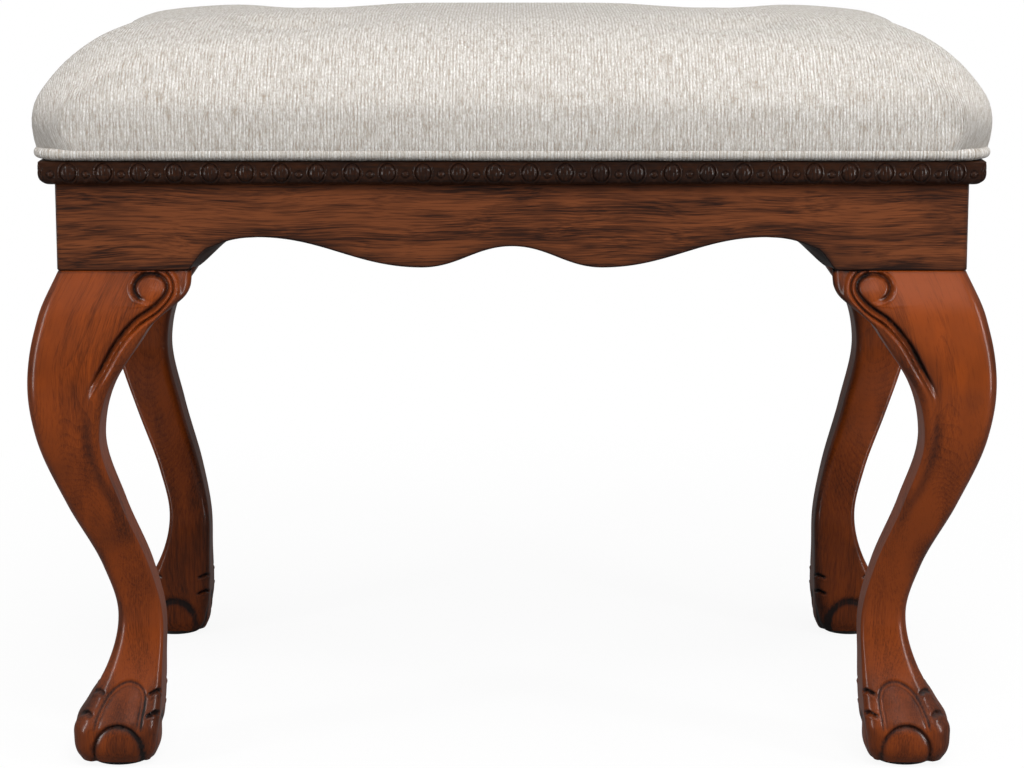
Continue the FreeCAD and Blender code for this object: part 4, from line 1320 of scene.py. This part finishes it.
def button_shape(corner, facets):
    """Points, yarn places and faces of one covered button."""
    low, high = node_box(corner + "_button")
    centre = (low + high) / 2
    radius = (high[0] - low[0]) / 2
    tall = high[2] - low[2]
    turn = np.linspace(0, 2 * math.pi, facets, endpoint=False)
    points = []
    for share, rise in BUTTON_OUTLINE:
        pinch = 1 + 0.018 * np.cos(9 * turn) * (share > 0.8)
        points.append(np.column_stack([centre[0] + radius * share * pinch * np.cos(turn),
                                       centre[1] + radius * share * pinch * np.sin(turn),
                                       np.full(facets, low[2] + tall * rise)]))
    points = np.array(points).reshape(-1, 3)
    weave = points * (1, 1, 0)
    return points, weave, capped_faces(len(BUTTON_OUTLINE), facets)


def dust_cover_shape():
    """Points and faces of the stretched dust cover, drawn up a little at its staples."""
    columns = int((dust_high[0] - dust_low[0]) / DUST_STEP) + 1
    rows = int((dust_high[1] - dust_low[1]) / DUST_STEP) + 1
    x, y = np.meshgrid(np.linspace(dust_low[0], dust_high[0], columns),
                       np.linspace(dust_low[1], dust_high[1], rows))
    inside = np.minimum.reduce([x - dust_low[0], dust_high[0] - x, y - dust_low[1], dust_high[1] - y])
    sag = DUST_SAG * smooth_step(6, 120, inside)
    pucker = DUST_PUCKER * np.cos(2 * math.pi * (x + y) / DUST_PUCKER_PITCH) * bump(inside, 14, 12)
    z = (dust_low[2] + dust_high[2]) / 2 - sag - pucker - DUST_PUCKER
    points = np.column_stack([x.ravel(), y.ravel(), z.ravel()])
    row, column = np.meshgrid(np.arange(rows - 1), np.arange(columns - 1), indexing="ij")
    first = row * columns + column
    faces = np.stack([first, first + columns, first + columns + 1, first + 1], axis=-1)
    return points, faces.reshape(-1, 4).tolist()


def leg_grain(points, number):
    """Grain places of a corner's piece: straight lines over the knee, and no two legs the same."""
    knee_out, _ = leg_outline(np.array([KNEE_HEIGHT]))
    out, _ = leg_outline(np.clip(points[:, 2], KNEE_HEIGHT, APRON_UNDERSIDE))
    pull = (out - knee_out)[:, None] * (1, 1, 0)
    return points + pull + number * np.array(LEG_GRAIN_STEP)


def add_carved(name, points, glaze_and_shade, faces, number, corner, finish, node):
    """Adds one carved piece of a corner, in place of its frame node."""
    mesh = new_mesh(name, to_corner(points, corner), corner_faces(faces, corner))
    add_values(mesh, "glaze_and_shade", glaze_and_shade)
    add_values(mesh, "grain", leg_grain(points, number))
    new_piece(mesh, finish, "leg_wood", node)


def add_strips(make, kind, finish, slot, node):
    """Adds a strip to each side of the stool, in place of that side's frame node."""
    for number, side in enumerate(SIDES):
        points, glaze_and_shade, faces = make(side)
        mesh = new_mesh(side + "_" + kind, to_side(points, side), faces)
        add_values(mesh, "glaze_and_shade", glaze_and_shade)
        add_values(mesh, "grain", along_first(points) + number * np.array(STRIP_GRAIN_STEP))
        weld(mesh)
        new_piece(mesh, finish, slot, side + "_" + node)


def fabric_mesh(name, points, weave, faces):
    """Mesh of a piece in the seat's fabric, with its yarn places."""
    mesh = new_mesh(name, points, faces, FABRIC_SHARP)
    add_values(mesh, "weave", weave)
    return mesh


class STOOL_OT_legs(bpy.types.Operator):
    """Carve the four cabriole legs"""
    bl_idname = "stool.legs"
    bl_label = "Legs"

    def execute(self, context):
        settings = context.scene.stool_wood
        finish = wood("leg_mahogany", settings.leg_light, settings.leg_dark, settings.glaze_and_shade,
                      (12.0, 15.0), 1.5, depths=(0.26, 0.17, 0.50), bands=(0.05, 0.36))
        points, glaze_and_shade, faces = carved_leg(settings)
        for number, corner in enumerate(CORNERS):
            name = corner + "_carved_leg"
            add_carved(name, points, glaze_and_shade, faces, number, corner, finish, corner + "_leg")
        return {"FINISHED"}


class STOOL_OT_ears(bpy.types.Operator):
    """Carve the eight knee ears that carry the outer half of the scrolls"""
    bl_idname = "stool.ears"
    bl_label = "Knee ears"

    def execute(self, context):
        settings = context.scene.stool_wood
        finish = bpy.data.materials["leg_mahogany"]
        points, glaze_and_shade, faces = carved_ear(settings)
        for number, corner in enumerate(CORNERS):
            for side in ("front", "side"):
                placed = points if side == "front" else points[:, [1, 0, 2]]
                turned = faces if side == "front" else [face[::-1] for face in faces]
                name = corner + "_" + side
                add_carved(name + "_carved_ear", placed, glaze_and_shade, turned, number, corner, finish, name + "_ear")
        return {"FINISHED"}


class STOOL_OT_aprons(bpy.types.Operator):
    """Make the four scalloped aprons"""
    bl_idname = "stool.aprons"
    bl_label = "Aprons"

    def execute(self, context):
        settings = context.scene.stool_wood
        finish = wood("apron_mahogany", settings.apron_light, settings.apron_dark, settings.glaze_and_shade,
                      (-120.0, 250.0), 5.0, streaks=(0.9, 0.016), pores=(1.5, 0.032),
                      depths=(0.10, 0.40, 0.90), bands=(0.15, 0.34), coat=(0.35, 0.30))
        add_strips(apron_strip, "scalloped_apron", finish, "apron_wood", "apron")
        return {"FINISHED"}


class STOOL_OT_mouldings(bpy.types.Operator):
    """Carve the four oval-and-bead mouldings"""
    bl_idname = "stool.mouldings"
    bl_label = "Mouldings"

    def execute(self, context):
        settings = context.scene.stool_wood
        finish = wood("moulding_mahogany", settings.moulding_light, settings.moulding_dark, settings.glaze_and_shade,
                      (-120.0, 250.0), 4.0, glaze_and_shade_share=0.8, coat=(0.30, 0.17))
        add_strips(moulding_strip, "carved_moulding", finish, "moulding_wood", "moulding")
        return {"FINISHED"}


class STOOL_OT_cushion(bpy.types.Operator):
    """Make the tufted cushion"""
    bl_idname = "stool.cushion"
    bl_label = "Cushion"

    def execute(self, context):
        finish = fabric(context.scene.stool_seat)
        points, weave, held, faces = cushion_shape(context.scene.stool_seat)
        mesh = fabric_mesh("tufted_cushion", points, weave, faces)
        cushion = new_piece(mesh, finish, "seat_fabric", "seat_cover", "foam_pad", "wadding", "tuft_twines")
        swell(cushion, held, SWELL_PRESSURE, SWELL_CAP)
        return {"FINISHED"}


class STOOL_OT_welt(bpy.types.Operator):
    """Make the covered cord round the seat's lower edge"""
    bl_idname = "stool.welt"
    bl_label = "Welt"

    def execute(self, context):
        mesh = fabric_mesh("covered_welt", *welt_shape())
        new_piece(mesh, bpy.data.materials["ribbed_chenille"], "seat_fabric", "welt_cover", "welt_cord")
        return {"FINISHED"}


class STOOL_OT_buttons(bpy.types.Operator):
    """Make the covered tuft buttons"""
    bl_idname = "stool.buttons"
    bl_label = "Tuft buttons"

    def execute(self, context):
        for corner in CORNERS:
            shape = button_shape(corner, context.scene.stool_seat.button_facets)
            mesh = fabric_mesh(corner + "_covered_button", *shape)
            button = new_piece(mesh, bpy.data.materials["ribbed_chenille"], "seat_fabric", corner + "_button")
        return {"FINISHED"}


class STOOL_OT_dust_cover(bpy.types.Operator):
    """Stretch the dust cover under the seat"""
    bl_idname = "stool.dust_cover"
    bl_label = "Dust cover"

    def execute(self, context):
        points, faces = dust_cover_shape()
        mesh = new_mesh("stretched_dust_cover", points, faces, FABRIC_SHARP)
        cover = new_piece(mesh, dust_cloth(), "dust_cloth", "dust_cover")
        return {"FINISHED"}


class STOOL_OT_hardware(bpy.types.Operator):
    """Finish the frame's own pieces: blocks, board, glides, anchors and steel"""
    bl_idname = "stool.hardware"
    bl_label = "Blocks and hardware"

    def execute(self, context):
        settings = context.scene.stool_wood
        block = wood("corner_block_wood", (0.52, 0.34, 0.17), (0.33, 0.19, 0.09), settings.glaze_and_shade,
                     (400.0, 500.0), 5.0, roughness=(0.55, 0.75), coat=(0.0, 0.3), own_grain=False)
        board = wood("birch_plywood", (0.60, 0.44, 0.26), (0.42, 0.28, 0.15), settings.glaze_and_shade,
                     (0.0, 900.0), 9.0, roughness=(0.60, 0.80), coat=(0.0, 0.3), own_grain=False)
        black = moulded_plastic("glide_plastic", (0.020, 0.019, 0.018), (0.010, 0.009, 0.009))
        pale = moulded_plastic("anchor_plastic", (0.62, 0.61, 0.57), (0.50, 0.49, 0.46))
        steel = zinc_steel()
        finishes = {"seat_board": board, "tuft_anchors": pale}
        for corner in CORNERS:
            finishes[corner + "_corner_block"] = block
            finishes[corner + "_glide"] = black
        for name in ("glide_nails", "hanger_bolts", "bolt_washers", "bolt_nuts", "corner_block_screws",
                     "seat_screws", "moulding_brads", "cover_staples", "dust_cover_staples"):
            finishes[name] = steel
        for name, finish in finishes.items():
            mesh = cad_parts[name].data
            mesh.materials.clear()
            mesh.materials.append(finish)
        return {"FINISHED"}


def area_light(name, place, aim, width, height, power, mirrored=True):
    """Rectangular light; one that isn't mirrored lights the scene without showing in the varnish."""
    light = bpy.data.lights.new(name, "AREA")
    light.shape = "RECTANGLE"
    light.size = width
    light.size_y = height
    light.energy = power
    lamp = bpy.data.objects.new(name, light)
    bpy.context.scene.collection.objects.link(lamp)
    lamp.location = place
    lamp.visible_glossy = mirrored
    direction = np.array(aim, float) - np.array(place, float)
    flat = math.hypot(direction[0], direction[1])
    heading = math.atan2(direction[1], direction[0]) - math.pi / 2
    lamp.rotation_euler = (math.atan2(flat, -direction[2]), 0, heading)


def pale_floor(stage):
    """Floor that looks white to the camera, with the stool's shadow, and like a grey room to other rays."""
    tree = material_tree("pale_floor")
    rays = tree.node("ShaderNodeLightPath")
    camera = tree.math("MAXIMUM", rays.outputs["Is Camera Ray"], rays.outputs["Is Transmission Ray"])
    mirrored = tree.math("MULTIPLY", rays.outputs["Is Glossy Ray"], stage.floor_shine)
    seen = tree.math("MAXIMUM", camera, mirrored)
    place = tree.place()
    speck = tree.noise(place, 3.0, 2.0)
    room = tree.mix(speck, rgba(stage.floor_colour), (0.17, 0.17, 0.17, 1))
    tree.set(Base_Color=tree.mix(camera, room, (0.95, 0.95, 0.95, 1)), Roughness=0.9)
    tree.set(Specular_IOR_Level=0.0)
    away = tree.span(tree.distance(place, (0, 0, 0)), 0.35, 0.95, 0.92, 1.0)
    glow = tree.node("ShaderNodeEmission", Strength=1.0)
    tree.blend(tree.math("MULTIPLY", seen, away), glow, "Material Output")
    return tree.owner


def studio_sky(stage):
    """World light that falls off towards the horizon and is white to the camera."""
    tree = Tree(bpy.data.worlds.new("studio"), "Background")
    place = tree.node("ShaderNodeTexCoord").outputs["Generated"]
    rise = tree.node("ShaderNodeSeparateXYZ", Vector=place).outputs["Z"]
    tree.set(Color=(1.0, 1.0, 1.0, 1.0), Strength=tree.span(rise, 0.0, 0.9, stage.horizon, stage.sky))
    rays = tree.node("ShaderNodeLightPath")
    white = tree.node("ShaderNodeBackground")
    tree.blend(rays.outputs["Is Camera Ray"], white, "World Output")
    return tree.owner


class STOOL_OT_stage(bpy.types.Operator):
    """Set the floor, the light and the camera"""
    bl_idname = "stool.stage"
    bl_label = "Stage"

    def execute(self, context):
        stage = context.scene.stool_stage
        scene = context.scene
        signs = ((-1, -1), (1, -1), (1, 1), (-1, 1))
        mesh = bpy.data.meshes.new("floor")
        mesh.from_pydata([(x * FLOOR_REACH, y * FLOOR_REACH, 0) for x, y in signs], [], [(0, 1, 2, 3)])
        mesh.materials.append(pale_floor(stage))
        floor = bpy.data.objects.new("floor", mesh)
        scene.collection.objects.link(floor)

        scene.world = studio_sky(stage)
        area_light("left_window", (-1.35, -0.9, 0.55), (-0.2, 0, 0.30), 0.16, 1.3, stage.window_power)
        area_light("right_window", (1.35, -0.9, 0.55), (0.2, 0, 0.30), 0.16, 1.3, stage.window_power * 1.15)
        area_light("over_seat", (0.2, -0.1, 1.9), (0, 0, 0.4), 1.4, 1.1, stage.top_power)
        area_light("over_camera", (0.25, -1.75, 1.9), (0, 0, 0.35), 1.2, 0.7, stage.front_power, False)

        camera = bpy.data.cameras.new("view")
        camera.lens = stage.lens
        camera.sensor_width = SENSOR_WIDTH
        camera.clip_end = VIEW_REACH
        viewer = bpy.data.objects.new("view", camera)
        scene.collection.objects.link(viewer)
        viewer.location = (0.0, -stage.camera_distance, stage.camera_height)
        viewer.rotation_euler = (stage.camera_tilt, 0.0, 0.0)
        scene.camera = viewer
        scene.view_settings.view_transform = "Standard"
        return {"FINISHED"}


OPERATORS = (
    STOOL_OT_legs, STOOL_OT_ears, STOOL_OT_aprons, STOOL_OT_mouldings, STOOL_OT_cushion,
    STOOL_OT_welt, STOOL_OT_buttons, STOOL_OT_dust_cover, STOOL_OT_hardware, STOOL_OT_stage,
)


class STOOL_PT_pieces(bpy.types.Panel):
    """Pieces of the stool and their settings"""
    bl_idname = "STOOL_PT_pieces"
    bl_label = "Vanity stool"
    bl_space_type = "VIEW_3D"
    bl_region_type = "UI"
    bl_category = "Stool"

    def draw(self, context):
        for operator in OPERATORS:
            self.layout.operator(operator.bl_idname)
        for settings in (context.scene.stool_wood, context.scene.stool_seat, context.scene.stool_stage):
            box = self.layout.box()
            for name in settings.__annotations__:
                box.prop(settings, name)


SETTINGS = {"stool_wood": StoolWood, "stool_seat": StoolSeat, "stool_stage": StoolStage}


def register():
    for entry in (*SETTINGS.values(), *OPERATORS, STOOL_PT_pieces):
        bpy.utils.register_class(entry)
    for name, group in SETTINGS.items():
        setattr(bpy.types.Scene, name, PointerProperty(type=group))


def unregister():
    for name in SETTINGS:
        delattr(bpy.types.Scene, name)
    for entry in (STOOL_PT_pieces, *reversed(OPERATORS), *reversed(SETTINGS.values())):
        bpy.utils.unregister_class(entry)


def main():
    register()
    bpy.ops.stool.legs()
    bpy.ops.stool.ears()
    bpy.ops.stool.aprons()
    bpy.ops.stool.mouldings()
    bpy.ops.stool.cushion()
    bpy.ops.stool.welt()
    bpy.ops.stool.buttons()
    bpy.ops.stool.dust_cover()
    bpy.ops.stool.hardware()
    bpy.ops.stool.stage()


if __name__ == "__main__":
    main()
